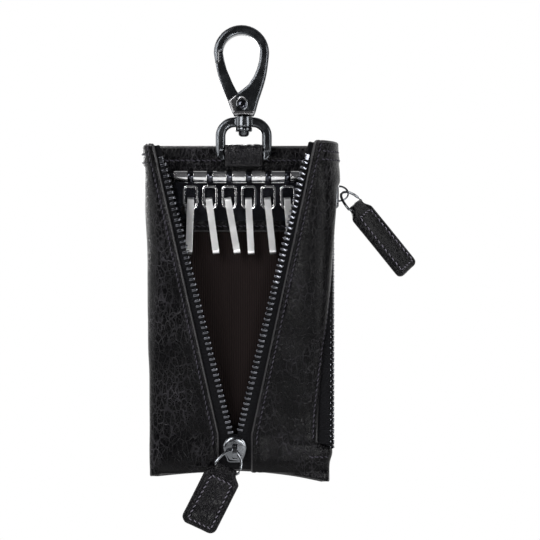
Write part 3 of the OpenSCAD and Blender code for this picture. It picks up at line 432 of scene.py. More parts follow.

# %% [markdown]
# The front of the hook's body gets painted light: a painted highlight on the cheek on the left, painted
# shade along the seam above it, a painted highlight on the upper rim of the oval recess round the rivet
# and one on the lower bevel. The recess and the seam are too shallow to model, so they are also pressed
# into the height. All of them are masks that are worked out from the place on the body.

# %% Painted light on the hook's body
hook_front_y, cheek_x, cheek_z, cheek_slope, cheek_fall = -1.9, 1.89, 23.8, 0.582, 0.86
oval_x, oval_z, oval_half_w, oval_half_h, foot_bevel_z = 0.45, 27.7, 2.1, 2.7, -30.7
# Tones of the painted highlights and of the painted shade along the seam
highlight_tone, seam_shade = (0.62, 0.61, 0.62, 1), (0.006, 0.006, 0.007, 1)


def cast_relief_and_painted_light(plate, spot, tint, height):
    x, y, z = (plate.across(spot, axis) for axis in range(3))
    front = (hook_front_y - y).step(0.0, 0.2)
    below = ((x + cheek_x) * cheek_slope - cheek_z - z) * cheek_fall
    cheek = below.step(0.1, 0.25) * (-2.6 - x).step(-0.1, 0.2) * front
    # The seam is pressed in as a groove and painted dark as shade between the cheek and the gate.
    seam = (1 - below.math("ABSOLUTE").step(0.08, 0.22)) * (-1.9 - x).step(0.0, 0.1) * front
    oval = (((x + oval_x) / oval_half_w) ** 2 + ((z + oval_z) / oval_half_h) ** 2).math("SQRT")
    # Painted highlight on the upper rim of the oval recess round the rivet.
    crescent = oval.step(0.7, 0.85) * (1 - oval.step(0.95, 1.05)) * (z + 27.6).step(0.2, 1.8) * front
    # Painted highlight along the lower bevel.
    bevel = (foot_bevel_z - z).step(0.0, 0.2) * front
    # Painted highlight on the cheek, standing in for a face that is tilted towards the light.
    cheek_highlight = cheek * (0.2 + plate.clouds(spot, 2.5) * 0.5)
    painted_highlight = cheek_highlight.math("MAXIMUM", crescent * 0.9).math("MAXIMUM", bevel * 0.5)
    tint = plate.blend(seam, plate.blend(painted_highlight, tint, highlight_tone), seam_shade)
    return tint, height + oval.step(0.85, 1.1) * 26 - seam * 12


hook_metal = metal_finish("gunmetal_plate", (0.085, 0.09, 0.097), 0.12, edge=0.9)
# The hook's body gets the same gunmetal with the painted highlights and shade from above.
hook_cast_painted = metal_finish("gunmetal_painted_light", (0.085, 0.09, 0.097), 0.12, edge=0.9, painted_light_marks=cast_relief_and_painted_light)
bright_nickel = metal_finish("bright_nickel_plate", (0.88, 0.88, 0.89), 0.1, wave=9.0)
strap_nickel = metal_finish("strap_nickel_plate", (0.93, 0.93, 0.93), 0.24, wave=14.0)
dark_nickel = metal_finish("black_nickel_plate", (0.05, 0.052, 0.062), 0.08)
teeth_metal = metal_finish("zip_teeth_plate", (0.1, 0.103, 0.115), 0.1, edge=0.12)
pull_metal = metal_finish("zip_pull_plate", (0.17, 0.178, 0.19), 0.12, edge=0.3)
print("metal finishes:", hook_metal.name, bright_nickel.name, teeth_metal.name)

# %% [markdown]
# The metal pieces keep their CAD shape. A bevel modifier rounds their edges by about a tenth of a
# millimetre, so that every edge catches a thin light as a cast and plated one does. Sharp edges would
# show no such line, however good the finish is.

# %% Dress the metal pieces
SHARP_ANGLE = math.radians(35)
stirrups, straps = ([f"{kind}_{k}" for k in range(1, 7)] for kind in ("stirrup", "strap"))


def dress(node, material, edge):
    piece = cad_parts[node]
    mesh = piece.data
    mesh.materials.clear()
    mesh.materials.append(material)
    weld = piece.modifiers.new("weld", "WELD")
    weld.merge_threshold = 1e-6
    bevel = piece.modifiers.new("edge", "BEVEL")
    bevel.width = edge * MM
    bevel.segments = 2
    bevel.limit_method = "ANGLE"
    bevel.angle_limit = SHARP_ANGLE
    even = piece.modifiers.new("even", "WEIGHTED_NORMAL")
    even.keep_sharp = True
    mesh.polygons.foreach_set("use_smooth", [True] * len(mesh.polygons))
    mesh.set_sharp_from_angle(angle=SHARP_ANGLE)


metal_nodes = [  # slot, finish, width of the rounded edge, nodes
    ("hook_metal", hook_metal, 0.16, ["hook_body", "hook_gate", "swivel_post", "shackle"]),
    # key_plate and key_rod are dark as painted shade between the knuckles, which get a painted highlight
    # further down.
    ("dark_nickel", dark_nickel, 0.08, [
        "gate_rivet", "gate_spring", "shackle_bar", "key_plate", "key_rod",
    ]),
    ("bright_nickel", bright_nickel, 0.05, ["plate_rivets"] + stirrups + straps),
    ("teeth_metal", teeth_metal, 0.12, [
        "zip_teeth_left", "zip_teeth_right", "side_teeth_front", "side_teeth_back",
    ]),
    ("dark_nickel", pull_metal, 0.07, [
        "main_slider", "main_bail", "main_ring", "side_slider", "side_bail", "side_ring",
    ]),
]
for slot, material, edge, nodes in metal_nodes:
    for node in nodes:
        dress(node, material, edge)
print("metal nodes dressed:", sum(len(row[3]) for row in metal_nodes))

# %% [markdown]
# Some metal pieces get painted light. The key plate is one piece, but its seven knuckles get bright
# nickel as a painted highlight and the flat of the plate between them stays dark as painted shade, and
# each stirrup is painted dark as shade where it wraps the rod. The wire rings of the pulls are plated
# thick, so their surface is moved out a little.

# %% Painted light on the key row, and thick plating
row_x, hook_pitch, knuckle_half, knuckle_foot_z = -1.55, 7.78, 2.8, -59.3
# The stirrups are painted dark as shade above stirrup_dark_z.
stirrup_dark_z, ring_plating = -60.6, 0.14


def middle_of(piece, face):
    return (piece.matrix_world @ face.center) / MM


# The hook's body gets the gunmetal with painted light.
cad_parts["hook_body"].data.materials[0] = hook_cast_painted
key_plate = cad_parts["key_plate"]
key_plate.data.materials.append(bright_nickel)
# The knuckles get bright nickel as a painted highlight on the one plating of the plate.
for face in key_plate.data.polygons:
    middle = middle_of(key_plate, face)
    near = min(abs(middle.x - row_x - k * hook_pitch) for k in range(-3, 4))
    if middle.z > knuckle_foot_z and near < knuckle_half:
        face.material_index = 1
for strap in straps:
    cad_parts[strap].data.materials[0] = strap_nickel
# Each stirrup is painted dark as shade where it wraps the rod.
for name in stirrups:
    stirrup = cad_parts[name]
    stirrup.data.materials.append(dark_nickel)
    for face in stirrup.data.polygons:
        face.material_index = int(middle_of(stirrup, face).z > stirrup_dark_z)
for node in ["main_ring", "side_ring"]:
    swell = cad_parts[node].modifiers.new("swell", "DISPLACE")
    swell.strength, swell.mid_level = ring_plating * MM, 0
print("bright faces of the key plate:", sum(face.material_index for face in key_plate.data.polygons))

# %% [markdown]
# ## Sheets with a thickness
# Leather, tape and lining are all sheets, and a sheet starts as a grid of points on its middle
# surface. Whole grids are moved at once with numpy, which is shorter and faster than moving vertices
# one by one. These helpers are the ones that every sheet needs.


# %% Helpers for points
def unit(v):
    v = np.asarray(v, float)
    return v / np.linalg.norm(v, axis=-1, keepdims=True)


def mix(a, b, t):
    return a + (b - a) * t


def ease(t):
    t = np.clip(t, 0, 1)
    return t * t * (3 - 2 * t)


def bell(distance, width):
    """1 at distance 0, falling to nothing over a few widths."""
    return np.exp(-((distance / width) ** 2))


def full(value, shape):
    return np.broadcast_to(np.asarray(value, float), shape).copy()


def spots(*axes, like=0.0):
    """Points from their coordinates, each a number or an array."""
    shape = np.broadcast_shapes(np.shape(like), *(np.shape(axis) for axis in axes))
    return np.stack([full(axis, shape) for axis in axes], -1)


def handled_curve(a, b, c, d, t):
    """A curve from a to d whose handles end at b and c."""
    s = 1 - t
    return a * s**3 + b * 3 * s**2 * t + c * 3 * s * t**2 + d * t**3


def face_normals(grid, outward):
    """Normals of a grid of points, on the side that outward points to."""
    along = np.gradient(grid, axis=0)
    across = np.gradient(grid, axis=1)
    normals = unit(np.cross(along, across))
    flip = np.sign((normals * outward).sum(-1, keepdims=True))
    return normals * np.where(flip == 0, 1, flip)


def lengths(grid):
    """Distance between the neighbours of every row."""
    return np.linalg.norm(np.diff(grid, axis=1), axis=-1)


def start_distance(grid):
    """Distance of every point to the first column, measured along the sheet."""
    return np.cumsum(np.concatenate([np.zeros((len(grid), 1)), lengths(grid)], 1), 1)


def edge_distance(grid):
    """Distance of every point to the last column, measured along the sheet."""
    far = np.cumsum(lengths(grid)[:, ::-1], axis=1)[:, ::-1]
    return np.concatenate([far, np.zeros((len(grid), 1))], axis=1)


print("a bell one width away is", round(float(bell(1, 1)), 2))

# %% [markdown]
# Cut and painted edges are round. The rims of a sheet are therefore closed with half circles, from
# its outer face to its inner one. A Solidify modifier would be quicker, but it leaves every rim
# square and doesn't let one rim stay flat where two pieces meet.

# %% Round rims
RIM_TURNS = np.radians([30, 60, 90, 120, 150])
END_TURNS = np.radians([30, 60, 90])


def end_rim(grid, normals, out, into, end, inner, roundness):
    """Rows that round off the first or last row: places, normals and the two half thicknesses."""
    along = unit(grid[end] - grid[inner])
    half = (out[end] + into[end]) / 2
    middle = grid[end] + normals[end] * ((out[end] - into[end]) / 2)[:, None]
    rows = []
    for angle in END_TURNS:
        moved = middle + along * (half * math.sin(angle) * roundness)[:, None]
        rows.append((moved, normals[end], half * math.cos(angle), half * math.cos(angle)))
    return tuple(np.stack([row[i] for row in rows]) for i in range(4))


def side_rim(grid, normals, out, into, end, inner, roundness):
    """Columns that go round the first or last column, from the outer face to the inner one."""
    across = unit(grid[:, end] - grid[:, inner])
    if np.ndim(roundness):
        roundness = np.pad(roundness, len(END_TURNS), mode="edge")
    half = (out[:, end] + into[:, end]) / 2
    middle = grid[:, end] + normals[:, end] * ((out[:, end] - into[:, end]) / 2)[:, None]
    rim = []
    for angle in RIM_TURNS:
        raised = normals[:, end] * (half * math.cos(angle))[:, None]
        rim.append(middle + raised + across * (half * math.sin(angle) * roundness)[:, None])
    return rim


print("points round a rim:", len(RIM_TURNS))

# %% [markdown]
# The maker puts the outer face, one rim, the inner face and the other rim into one loop per row, and
# joins each row to the next. The result is a closed shell, so its volume is sound.

# %% Sheet maker
JOIN_WITHIN, NO_SIZE, CREASE_ANGLE = 1e-7, 1e-8, math.radians(60)


def looped_mesh(name, points, is_rim):
    """A closed mesh of rows of points, each row a loop. Rim faces get the second material."""
    rows, count = points.shape[:2]
    maker = bmesh.new()
    made = [[maker.verts.new(Vector(p) * MM) for p in row] for row in points]
    for i in range(rows - 1):
        for j in range(count):
            k = (j + 1) % count
            face = maker.faces.new((made[i][j], made[i][k], made[i + 1][k], made[i + 1][j]))
            face.smooth = True
            face.material_index = int(is_rim(i, j))
    bmesh.ops.remove_doubles(maker, verts=maker.verts, dist=JOIN_WITHIN)
    bmesh.ops.dissolve_degenerate(maker, edges=maker.edges, dist=NO_SIZE)
    bmesh.ops.recalc_face_normals(maker, faces=maker.faces)
    mesh = bpy.data.meshes.new(name)
    maker.to_mesh(mesh)
    maker.free()
    mesh.set_sharp_from_angle(angle=CREASE_ANGLE)
    return mesh


def thick_sheet(name, grid, normals, out, into, material, rim_material=None, rims=(1, 1, 1, 1)):
    """Closed sheet round a grid: out and into are the distances to its faces. rims are the roundness of
    the first row, last row, first column and last column, from 0 for flat to 1 for a half circle."""
    out, into = (full(distance, grid.shape[:2]) for distance in (out, into))
    sheet = (grid, normals, out, into)
    first, last = end_rim(*sheet, 0, 1, rims[0]), end_rim(*sheet, -1, -2, rims[1])
    parts = [tuple(part[::-1] for part in first), sheet, last]
    sheet = tuple(np.concatenate([part[i] for part in parts]) for i in range(4))
    grid, normals, out, into = sheet
    rows, cols = grid.shape[:2]
    outer = grid + normals * out[..., None]
    inner = grid - normals * into[..., None]
    loop = [outer[:, j] for j in range(cols)] + side_rim(*sheet, -1, -2, rims[3])
    loop += [inner[:, j] for j in range(cols)][::-1] + side_rim(*sheet, 0, 1, rims[2])[::-1]
    turns, ends = len(RIM_TURNS), len(END_TURNS)
    side_faces = set(range(cols - 1, cols + turns)) | set(range(2 * cols + turns - 1, len(loop)))

    def is_rim(i, j):
        return rim_material is not None and (j in side_faces or i < ends or i >= rows - 1 - ends)

    mesh = looped_mesh(name, np.stack(loop, axis=1), is_rim)
    for one in (material, rim_material):
        if one:
            mesh.materials.append(one)
    return placed(name, mesh)


def install(piece, node=None, body=None):
    if body:
        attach(piece, body)
    if node:
        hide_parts(node)
    print(piece.name, "has", len(piece.data.vertices), "points")


print("sheets are joined within", JOIN_WITHIN, "m")

# %% [markdown]
# ## The shape of the case
# The front is two sheets that come round the folds from the back and end at the main zip. Seen from
# above each one is a soft curve from the fold to the zip edge, and the case gets shallower towards
# its foot. These sizes are the CAD model's, so that zips, linings and stitches stay in their places.

# %% Sizes of the case
case_x, fold_half, left_fold_x, right_fold_x = -1.4, 35.6, -37.0, 34.2
top_z, foot_z, case_h = -44.6, -174.6, 130.0
hem_drops = {-1: 1.4, 1: 0.1}  # how far the left and the right front end below the back
leather_t, lining_t, tape_t = 1.3, 0.4, 0.5
panel_y, panel_back_y = 4.8, 6.1
panel_mid_y = (panel_y + panel_back_y) / 2
fold_in = 2.5  # the back panel ends this far inside the folds
zip_x, zip_foot_z, zip_top_z = -3.2, -159.9, -47.4
slider_d, mouth_d, foot_d = 6.2, 25.0, 2.6  # depth of the case at the slider, the top and the foot
foot_close_h, closed_slope = 4.5, 0.0889
foot_half, mouth_half = 7.0, 31.2  # half the gap between the leather edges, at the slider and the top
apex_half, teeth_half_top = 1.3, 28.6  # half the gap between the rows of teeth
tape_under = 1.2
side_top_z, side_foot_z, side_slider_l = -59.8, -165.6, 9.6
side_chain_x, side_chain_y, side_edge_y = 35.6, 1.7, -1.9
side_inset, side_foot_lift, slot_fade = 6.5, 1.4, 3
edge_curl, head_bulge = 2.0, 3.2
foot_dip_left, foot_dip_right, foot_dip_power = 2.4, 4.9, 1.6
print("case is", 2 * fold_half, "mm wide and", case_h, "mm high; mouth", mouth_d, "mm deep")

# %% [markdown]
# Each function gives one line of the case at a height: how deep it is, how far its zip edges are
# apart, where its foot curves up, and how far the side zip's slit opens. They take whole arrays, so
# that a grid needs one call.


# %% Lines of the case
def zip_share(z):
    return (z - zip_foot_z) / (zip_top_z - zip_foot_z)


def case_depth(z):
    line = slider_d - (zip_foot_z - z) * closed_slope
    closing = np.radians(90 * np.clip((z - foot_z) / foot_close_h, -0.1, 1))
    low = foot_d + (line - foot_d) * np.sin(closing)
    return np.where(z >= zip_foot_z, mix(slider_d, mouth_d, zip_share(z)), low)


def edge_half(z):
    return mix(foot_half, mouth_half, np.maximum(zip_share(z), 0))


def foot_drop(x):
    s = (x - case_x) / fold_half
    return np.where(s < 0, foot_dip_left, foot_dip_right) * np.abs(s) ** foot_dip_power


def slot_share(z):
    """1 along the side zip, where the leather is slit, and 0 above and below it."""
    return ease((z - side_foot_z) / slot_fade) * ease((side_top_z + 1 - z) / slot_fade)


def side_open(z):
    high = side_top_z - side_slider_l
    return ease((high - z) / (high - side_foot_z))


print("depth half way up:", round(float(case_depth(np.array((top_z + foot_z) / 2))), 1), "mm")

# %% [markdown]
# A front sheet seen from above is one curve with two handles. The handles make the leather bulge at
# the fold and run flat into the zip edge, as a sheet does that is bent by its own stiffness. Along the
# side zip the curve starts at the slit's edge instead of the fold.


# %% Front sheet seen from above
def fold_point(side, z):
    """Where the front sheet starts: at the fold, or at its edge along the side zip."""
    if side < 0:
        return spots(left_fold_x, panel_back_y, like=z)
    w = slot_share(z)
    head = mix(right_fold_x, side_chain_x, ease((top_z - z) / 16) * (z > side_foot_z + 5))
    x = mix(head, side_chain_x - side_inset * side_open(z), w)
    y = mix(panel_back_y, side_edge_y + side_foot_lift * side_open(z) ** 3, w)
    return spots(x, y)


def section(side, z, v):
    """x and y of the front sheet from the fold, v 0, to the zip edge, v 1."""
    a = fold_point(side, z)
    d = spots(zip_x + side * edge_half(z), panel_y - case_depth(z))
    reach = a[..., 1] - d[..., 1]
    height = np.clip((z - foot_z) / case_h, 0, 1)
    bulge, fullness = mix(0.6, 4.0, height), mix(0.85, 0.52, height)
    if side > 0:
        bulge = bulge + head_bulge * (1 - slot_share(z)) * (z > side_foot_z + 5)
    slit = (slot_share(z) * side_open(z) * (side > 0))[..., None]
    c = d + spots(side * (fullness * np.abs(a[..., 0] - d[..., 0]) + edge_curl), 0)
    b = mix(a + spots(side * bulge, -fullness * reach), a + (c - a) / 3, slit)
    return handled_curve(a, b, c, d, v[..., None])


def sheet_z(side, u, v):
    foot_x = mix(case_x + side * fold_half, zip_x + side * foot_half, v)
    return mix(foot_z - foot_drop(foot_x), top_z - hem_drops[side] * ease(v * 1.4), u)


print("left fold starts at", fold_point(-1, np.array(top_z)), "mm")

# %% [markdown]
# Worn leather is never flat. Slow waves come from seeded noise, and four dents follow the
# photograph: the pressed spot low on the right, the hollow low on the left, and a dip in each upper
# half.

# %% Slow waves in the leather
dents = [  # x, z, width, depth
    (18.5, -151, 13, 0.9), (-24, -150, 12, 0.6), (24, -88, 16, 0.5), (-31, -96, 12, 0.45),
]
lump_x, lump_z, lump_width, lump_height = 34, -167.2, 3.2, 1.2  # the knot of leather under the side zip


def waves(points, size, amount, seed):
    flat = points.reshape(-1, 3)
    found = [noise.noise(Vector((p[0] / size + seed, p[1] / size, p[2] / size))) for p in flat]
    return np.array(found).reshape(points.shape[:-1]) * amount


def slow_shape(points, seed):
    moved = waves(points, 26, 0.55, seed) + waves(points, 11, 0.22, seed + 7)
    for x, z, width, deep in dents:
        away = np.hypot(points[..., 0] - x, (points[..., 2] - z) * 0.7)
        moved -= deep * bell(away, width)
    return moved


def outward(grid, side):
    """Rough outward direction of the front sheet."""
    across = np.gradient(grid, axis=1)
    return spots(-side * across[..., 1], side * across[..., 0], 0)


def shaped(grid, side, seed):
    """The grid with its waves, dents and knot, and its normals. Both ends stay calm."""
    normals = face_normals(grid, outward(grid, side))
    span = np.linspace(0, 1, grid.shape[1])[None, :]
    calm = ease(span * 5) * ease((1 - span) * 5)
    grid = grid + normals * (slow_shape(grid, seed) * calm)[..., None]
    lump = lump_height * bell(np.hypot(grid[..., 0] - lump_x, grid[..., 2] - lump_z), lump_width)
    grid = grid + normals * lump[..., None]
    return grid, face_normals(grid, outward(grid, side))


print("dents:", len(dents))

# %% [markdown]
# The grid of a front sheet has two parts: the turn round the fold, which joins the back panel, and
# the sheet itself. Making the turn as more columns of the same grid keeps the leather in one piece
# there.

# %% Grid of a front sheet
TURN_COLUMNS, corner_v = 10, 0.1
sheet_rows = np.concatenate([np.linspace(0, 0.94, 170), np.linspace(0.9435, 1, 24)])
sheet_cols = np.concatenate([np.linspace(corner_v, 0.86, 46), np.linspace(0.872, 1, 22)])


def fold_turn(side, flat, z, v_first):
    """Points that turn round the fold, from the back panel to where the front sheet starts."""
    first, z = flat[:, :1], z[:, :1]
    slit = slot_share(z)[..., None] * (side > 0)
    back_x = left_fold_x + fold_in if side < 0 else right_fold_x - fold_in
    start = mix(spots(back_x, panel_mid_y, like=z), fold_point(side, z), slit)
    way = unit(section(side, z, full(v_first + 0.02, z.shape)) - first)
    gap = np.linalg.norm(first - start, axis=-1, keepdims=True)
    lead = mix(spots(side, 0, like=z), unit(first - start), slit)
    t = np.linspace(0, 1, TURN_COLUMNS, endpoint=False)[None, :, None]
    turn = handled_curve(start, start + lead * gap * 0.4, first - way * gap * 0.4, first, t)
    return np.concatenate([turn, np.repeat(z, TURN_COLUMNS, axis=1)[..., None]], -1)


def front_grid(side, rows, columns):
    """Middle surface of a front sheet, with the turn round the fold to the back."""
    v, u = np.meshgrid(columns, rows)
    z = sheet_z(side, u, v)
    flat = section(side, z, v)
    sheet = np.concatenate([flat, z[..., None]], -1)
    return np.concatenate([fold_turn(side, flat, z, columns[0]), sheet], axis=1)


print("front grid:", len(sheet_rows), "rows,", TURN_COLUMNS + len(sheet_cols), "columns")

# %% [markdown]
# ## Front leather
# Each front sheet is 1.3 mm cowhide. Its top is turned down and sewn with two rows of stitches, which
# makes a thicker band. The row of stitches beside the zip pulls the leather in, so there is a groove
# with small puckers, and the strip between the groove and the edge stands up. All this is a relief on
# the outer face.

# %% Relief of the front
stitch_in, slit_in, stitch_pitch = 1.7, 1.5, 2.1
hem_lines = (3.2, 6.4)
groove_width = 0.45


def puckers(along):
    """1 between two stitches and 0 at a hole."""
    return 0.5 + 0.5 * np.cos(2 * np.pi * along / stitch_pitch)


def front_relief(grid, side):
    edge, z = edge_distance(grid), grid[..., 2]
    top, pucker = z[-1][None, :] - z, puckers(z)
    pulled = 0.6 + 0.4 * pucker
    rise = -0.26 * bell(edge - stitch_in, groove_width) * pulled
    rise += 0.14 * bell(edge - 0.8, 0.5) + 0.1 * bell(edge - 3.3, 1.2) * pucker
    rise += 0.45 * ease((hem_lines[1] + 1.3 - top) / 1.2)
    for line in hem_lines:
        rise -= 0.22 * bell(top - line, 0.4) * (edge > stitch_in)
    if side > 0:
        start = start_distance(grid)
        groove = -0.24 * bell(start - slit_in, groove_width) * pulled
        rise += slot_share(z[:, :1]) * (groove + 0.12 * bell(start - 0.7, 0.4))
    return rise


print("hem stitches lie", hem_lines, "mm below the top")

# %% [markdown]
# When the zip closes, the leather has to bend between the folds, which stay with the case, and the
# zip edge, which moves. Two rigid pieces would tear apart. The line from each sheet's fold to its zip
# edge is worked out here, but the sheets are not blended between the bodies.

# %% Front leather sheets
left_blend = ("left_zip", (0.623, -0.782), (-27.8, -5.63))
right_blend = ("right_zip", (-0.623, -0.782), (-17.7, -1.65))


def follow(piece, rule):
    """Bakes the sheet's place into its mesh; the line from the fold to the zip edge is worked out but
    not used.
    """
    moving, (way_x, way_y), reach = rule
    start, end = ((way_x * far * MM, way_y * far * MM, 0) for far in reach)
    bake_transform(piece)


def front_leather(side, name, node, rule, seed):
    grid, normals = shaped(front_grid(side, sheet_rows, sheet_cols), side, seed)
    slit = slot_share(grid[:, 0, 2]) * (side > 0)
    rise = front_relief(grid, side)
    outer = leather_t / 2 + rise
    piece = thick_sheet(
        name, grid, normals, outer, leather_t / 2, black_leather, painted_edge, (1, 1, slit, 1)
    )
    follow(piece, rule)
    install(piece, node)
    return grid, normals, rise


left_sheet = front_leather(-1, "left_front_leather", "left_flap", left_blend, 3.1)
right_sheet = front_leather(1, "right_front_leather", "right_flap", right_blend, 9.4)

# %% [markdown]
# ## Linings of the front
# A thin ribbed cloth is glued behind each front sheet. It is the same surface, moved inward by half
# of both thicknesses, and it stops short of the zips. Reusing the leather's grid makes sure that it
# never pokes out.

# %% Front linings
lining_gap, lining_skip_first, lining_skip_last = 0.15, 4, 12


def front_lining(side, name, node, rule, seed, u_range):
    inward = leather_t / 2 + lining_gap + lining_t / 2
    grid, normals = shaped(front_grid(side, np.linspace(*u_range, 60), sheet_cols), side, seed)
    kept = slice(TURN_COLUMNS + lining_skip_first, -lining_skip_last)
    grid, normals = grid[:, kept] - normals[:, kept] * inward, normals[:, kept]
    piece = thick_sheet(name, grid, normals, lining_t / 2, lining_t / 2, brown_lining)
    follow(piece, rule)
    install(piece, node)


front_lining(-1, "left_front_lining", "left_flap_lining", left_blend, 3.1, (0.075, 0.93))
front_lining(1, "right_front_lining", "right_flap_lining", right_blend, 9.4, (0.1, 0.87))

# %% [markdown]
# ## Back
# The back is one flat panel between the folds, slit for the side zip like the front. Its waves fade
# out towards both folds and the top, where other leather is sewn to it.

# %% Back panel
back_rows = np.concatenate([np.linspace(0, 0.95, 130), np.linspace(0.955, 1, 14)])
back_cols = np.linspace(0, 1, 60)
rim_stitch_down = 5.5


def back_grid(y, rows, cols, left_in=fold_in, right_in=fold_in, slot_in=3.0, top_in=0.0, foot_in=0.0):
    s, u = np.meshgrid(cols, rows)
    slit = slot_share(mix(foot_z, top_z, u))
    x = mix(left_fold_x + left_in, right_fold_x - mix(right_in, slot_in, slit), s)
    z = mix(foot_z - foot_drop(x) + foot_in, top_z - top_in, u)
    return spots(x, y, z)


back_panel = back_grid(panel_mid_y, back_rows, back_cols)
back_down = top_z - back_panel[..., 2]
back_wave = waves(back_panel, 24, 0.5, 21.0) + waves(back_panel, 9, 0.15, 4.0)
calm = ease(back_cols[None, :] * 6) * ease((1 - back_cols[None, :]) * 6) * ease(back_down / 30)
back_rise = back_wave * calm - 0.2 * bell(back_down - rim_stitch_down, 0.4)
back_leather = thick_sheet(
    "back_leather", back_panel, face_normals(back_panel, full((0, 1, 0), back_panel.shape)),
    leather_t / 2 + back_rise, leather_t / 2 - 0.02, black_leather, painted_edge,
    (1, 1, 0, slot_share(back_panel[:, -1, 2])),
)
install(back_leather, "back_panel", "case")

# %% [markdown]
# Behind the keys hangs a divider of the brown lining. It is a plain flat sheet just in front of the
# back panel, cut back where the side zip opens.

# %% Back lining
divider_y = 4.5
divider = back_grid(
    divider_y, np.linspace(0.01, 0.97, 70), np.linspace(0, 1, 40),
    left_in=1.1, right_in=5.0, slot_in=5.0, top_in=3.0, foot_in=0.5,
)
back_lining = thick_sheet(
    "back_inner_lining", divider, face_normals(divider, full((0, 1, 0), divider.shape)),
    lining_t / 2, lining_t / 2, brown_lining,
)
install(back_lining, "back_lining", "case")

# %% [markdown]
# Behind the key row a strip of leather stiffens the back. Its upper part is the back's own top edge
# turned in, so it is thicker down to a line a few millimetres below the rim, and puckered along its
# stitches.

# %% Facing strip
facing_y, facing_h, facing_stitch_down = 3.6, 33.0, 31.9
facing_xs = np.linspace(left_fold_x + 1.4, right_fold_x - 5.0, 110)
facing_x, facing_u = np.meshgrid(facing_xs, np.linspace(0, 1, 90))
facing_z = mix(top_z - 0.6 - facing_h, top_z - 0.6, facing_u)
facing_grid = spots(facing_x, facing_y, facing_z)
facing_down, facing_pucker = top_z - facing_z, puckers(facing_x)
turned_in = ease((7.9 - facing_down) / 0.5)
rim_groove = bell(facing_down - rim_stitch_down, 0.45) * (0.5 + 0.5 * facing_pucker)
facing_rise = 0.35 * turned_in - 0.25 * rim_groove
facing_rise += 0.12 * bell(facing_down - 3.4, 1.3) * facing_pucker
facing_rise += waves(facing_grid, 5, 0.18, 2.0) * turned_in
facing_rise -= 0.16 * bell(facing_down - facing_stitch_down, 0.4)
facing = thick_sheet(
    "key_row_facing", facing_grid, full((0, -1, 0), facing_grid.shape), 0.48 + facing_rise, 0.6,
    black_leather, painted_edge,
)
install(facing, "facing_strip", "case")

# %% [markdown]
# At the foot the front and back are sewn together inside out and turned, which leaves a soft roll
# between them. It is one strip that follows the curve of the foot.

# %% Foot seam
roll_y, roll_h, roll_half, roll_up = 3.5, 2.4, 1.1, 1.2
roll_s, roll_u = np.meshgrid(np.linspace(0, 1, 80), np.linspace(0, 1, 8))
roll_x = mix(left_fold_x + 0.9, right_fold_x - 0.9, roll_s)
roll = spots(roll_x, roll_y, foot_z - foot_drop(roll_x) + roll_up + roll_u * roll_h)
foot_seam = thick_sheet(
    "foot_seam", roll, full((0, -1, 0), roll.shape), roll_half, roll_half, black_leather
)
install(foot_seam, body="case")

# %% [markdown]
# ## Zip tapes
# The woven tape is held under the leather edge and carries the teeth on its free edge, which is
# rolled round a cord. It swings with its side of the zip, so it is a piece of its own that rides on
# that body.

# %% Tape maker
# Height, distance to the edge and width of the rolls on a tape
tape_rolls = [(0.22, 0.3, 0.5), (0.1, 1.9, 0.3), (0.06, 2.7, 0.25)]


def tape_grid(columns, zs):
    """A grid from its columns of x and y, all at the same heights."""
    return np.stack([np.concatenate([column, zs[:, None]], -1) for column in columns], axis=1)


def tape_piece(name, node, body, grid, towards, corded=True):
    rolled = np.zeros(grid.shape[:2])
    for height, inset, width in tape_rolls if corded else []:
        rolled += height * bell(edge_distance(grid) - inset, width)
    half = tape_t / 2 + rolled
    piece = thick_sheet(name, grid, face_normals(grid, towards), half, half, black_tape)
    install(piece, node, body)


print("rolls on a tape:", len(tape_rolls))

# %% [markdown]
# Each main tape follows the underside of its leather for a few columns, and then runs straight to the
# teeth.


# %% Main zip tapes
def chain_point(side, z):
    half = mix(apex_half, teeth_half_top, zip_share(z))
    return spots(zip_x + side * half, panel_y - case_depth(z) + tape_under)


def under_front(side, z, v):
    """A place on the front sheet at v, moved under the leather."""
    here, before, after = (section(side, z, full(v + step, z.shape)) for step in (0, -0.01, 0.01))
    way = unit(after - before)
    return here + tape_under * spots(side * way[..., 1], -side * way[..., 0])


def main_tape(side, name, node, body):
    zs = mix(zip_foot_z + 0.1, top_z - hem_drops[side] - 0.15, np.linspace(0, 1, 120))
    held = [under_front(side, zs, v) for v in (0.86, 0.9, 0.94, 0.97, 0.99, 1.0)]
    free = [mix(held[-1], chain_point(side, zs), t) for t in np.linspace(0, 1, 14)[1:]]
    grid = tape_grid(held + free, zs)
    tape_piece(name, node, body, grid, outward(grid, side))


main_tape(-1, "left_zip_tape", "zip_tape_left", "left_zip")
main_tape(1, "right_zip_tape", "zip_tape_right", "right_zip")

# %% [markdown]
# Below the slider the two tapes are joined, and the slider hides where. One flat piece does for both,
# and it stays with the case.

# %% Joined tape below the slider
tail_half = 12.5
tail_z = np.linspace(foot_z + 0.6, zip_foot_z - 0.15, 40)
tail_y = panel_y - case_depth(tail_z) + tape_under
tail_columns = [spots(zip_x + x, tail_y) for x in np.linspace(-tail_half, tail_half, 40)]
tape_piece("joined_tape", "zip_tail", "case", tape_grid(tail_columns, tail_z), (0, -1, 0), corded=False)

# %% [markdown]
# The side zip is a shorter one of the same kind. Its front tape comes round the slit edge of the
# leather, and its back tape lies inside the back panel. Both bend outwards to the chain, which is why
# their columns are placed one by one.

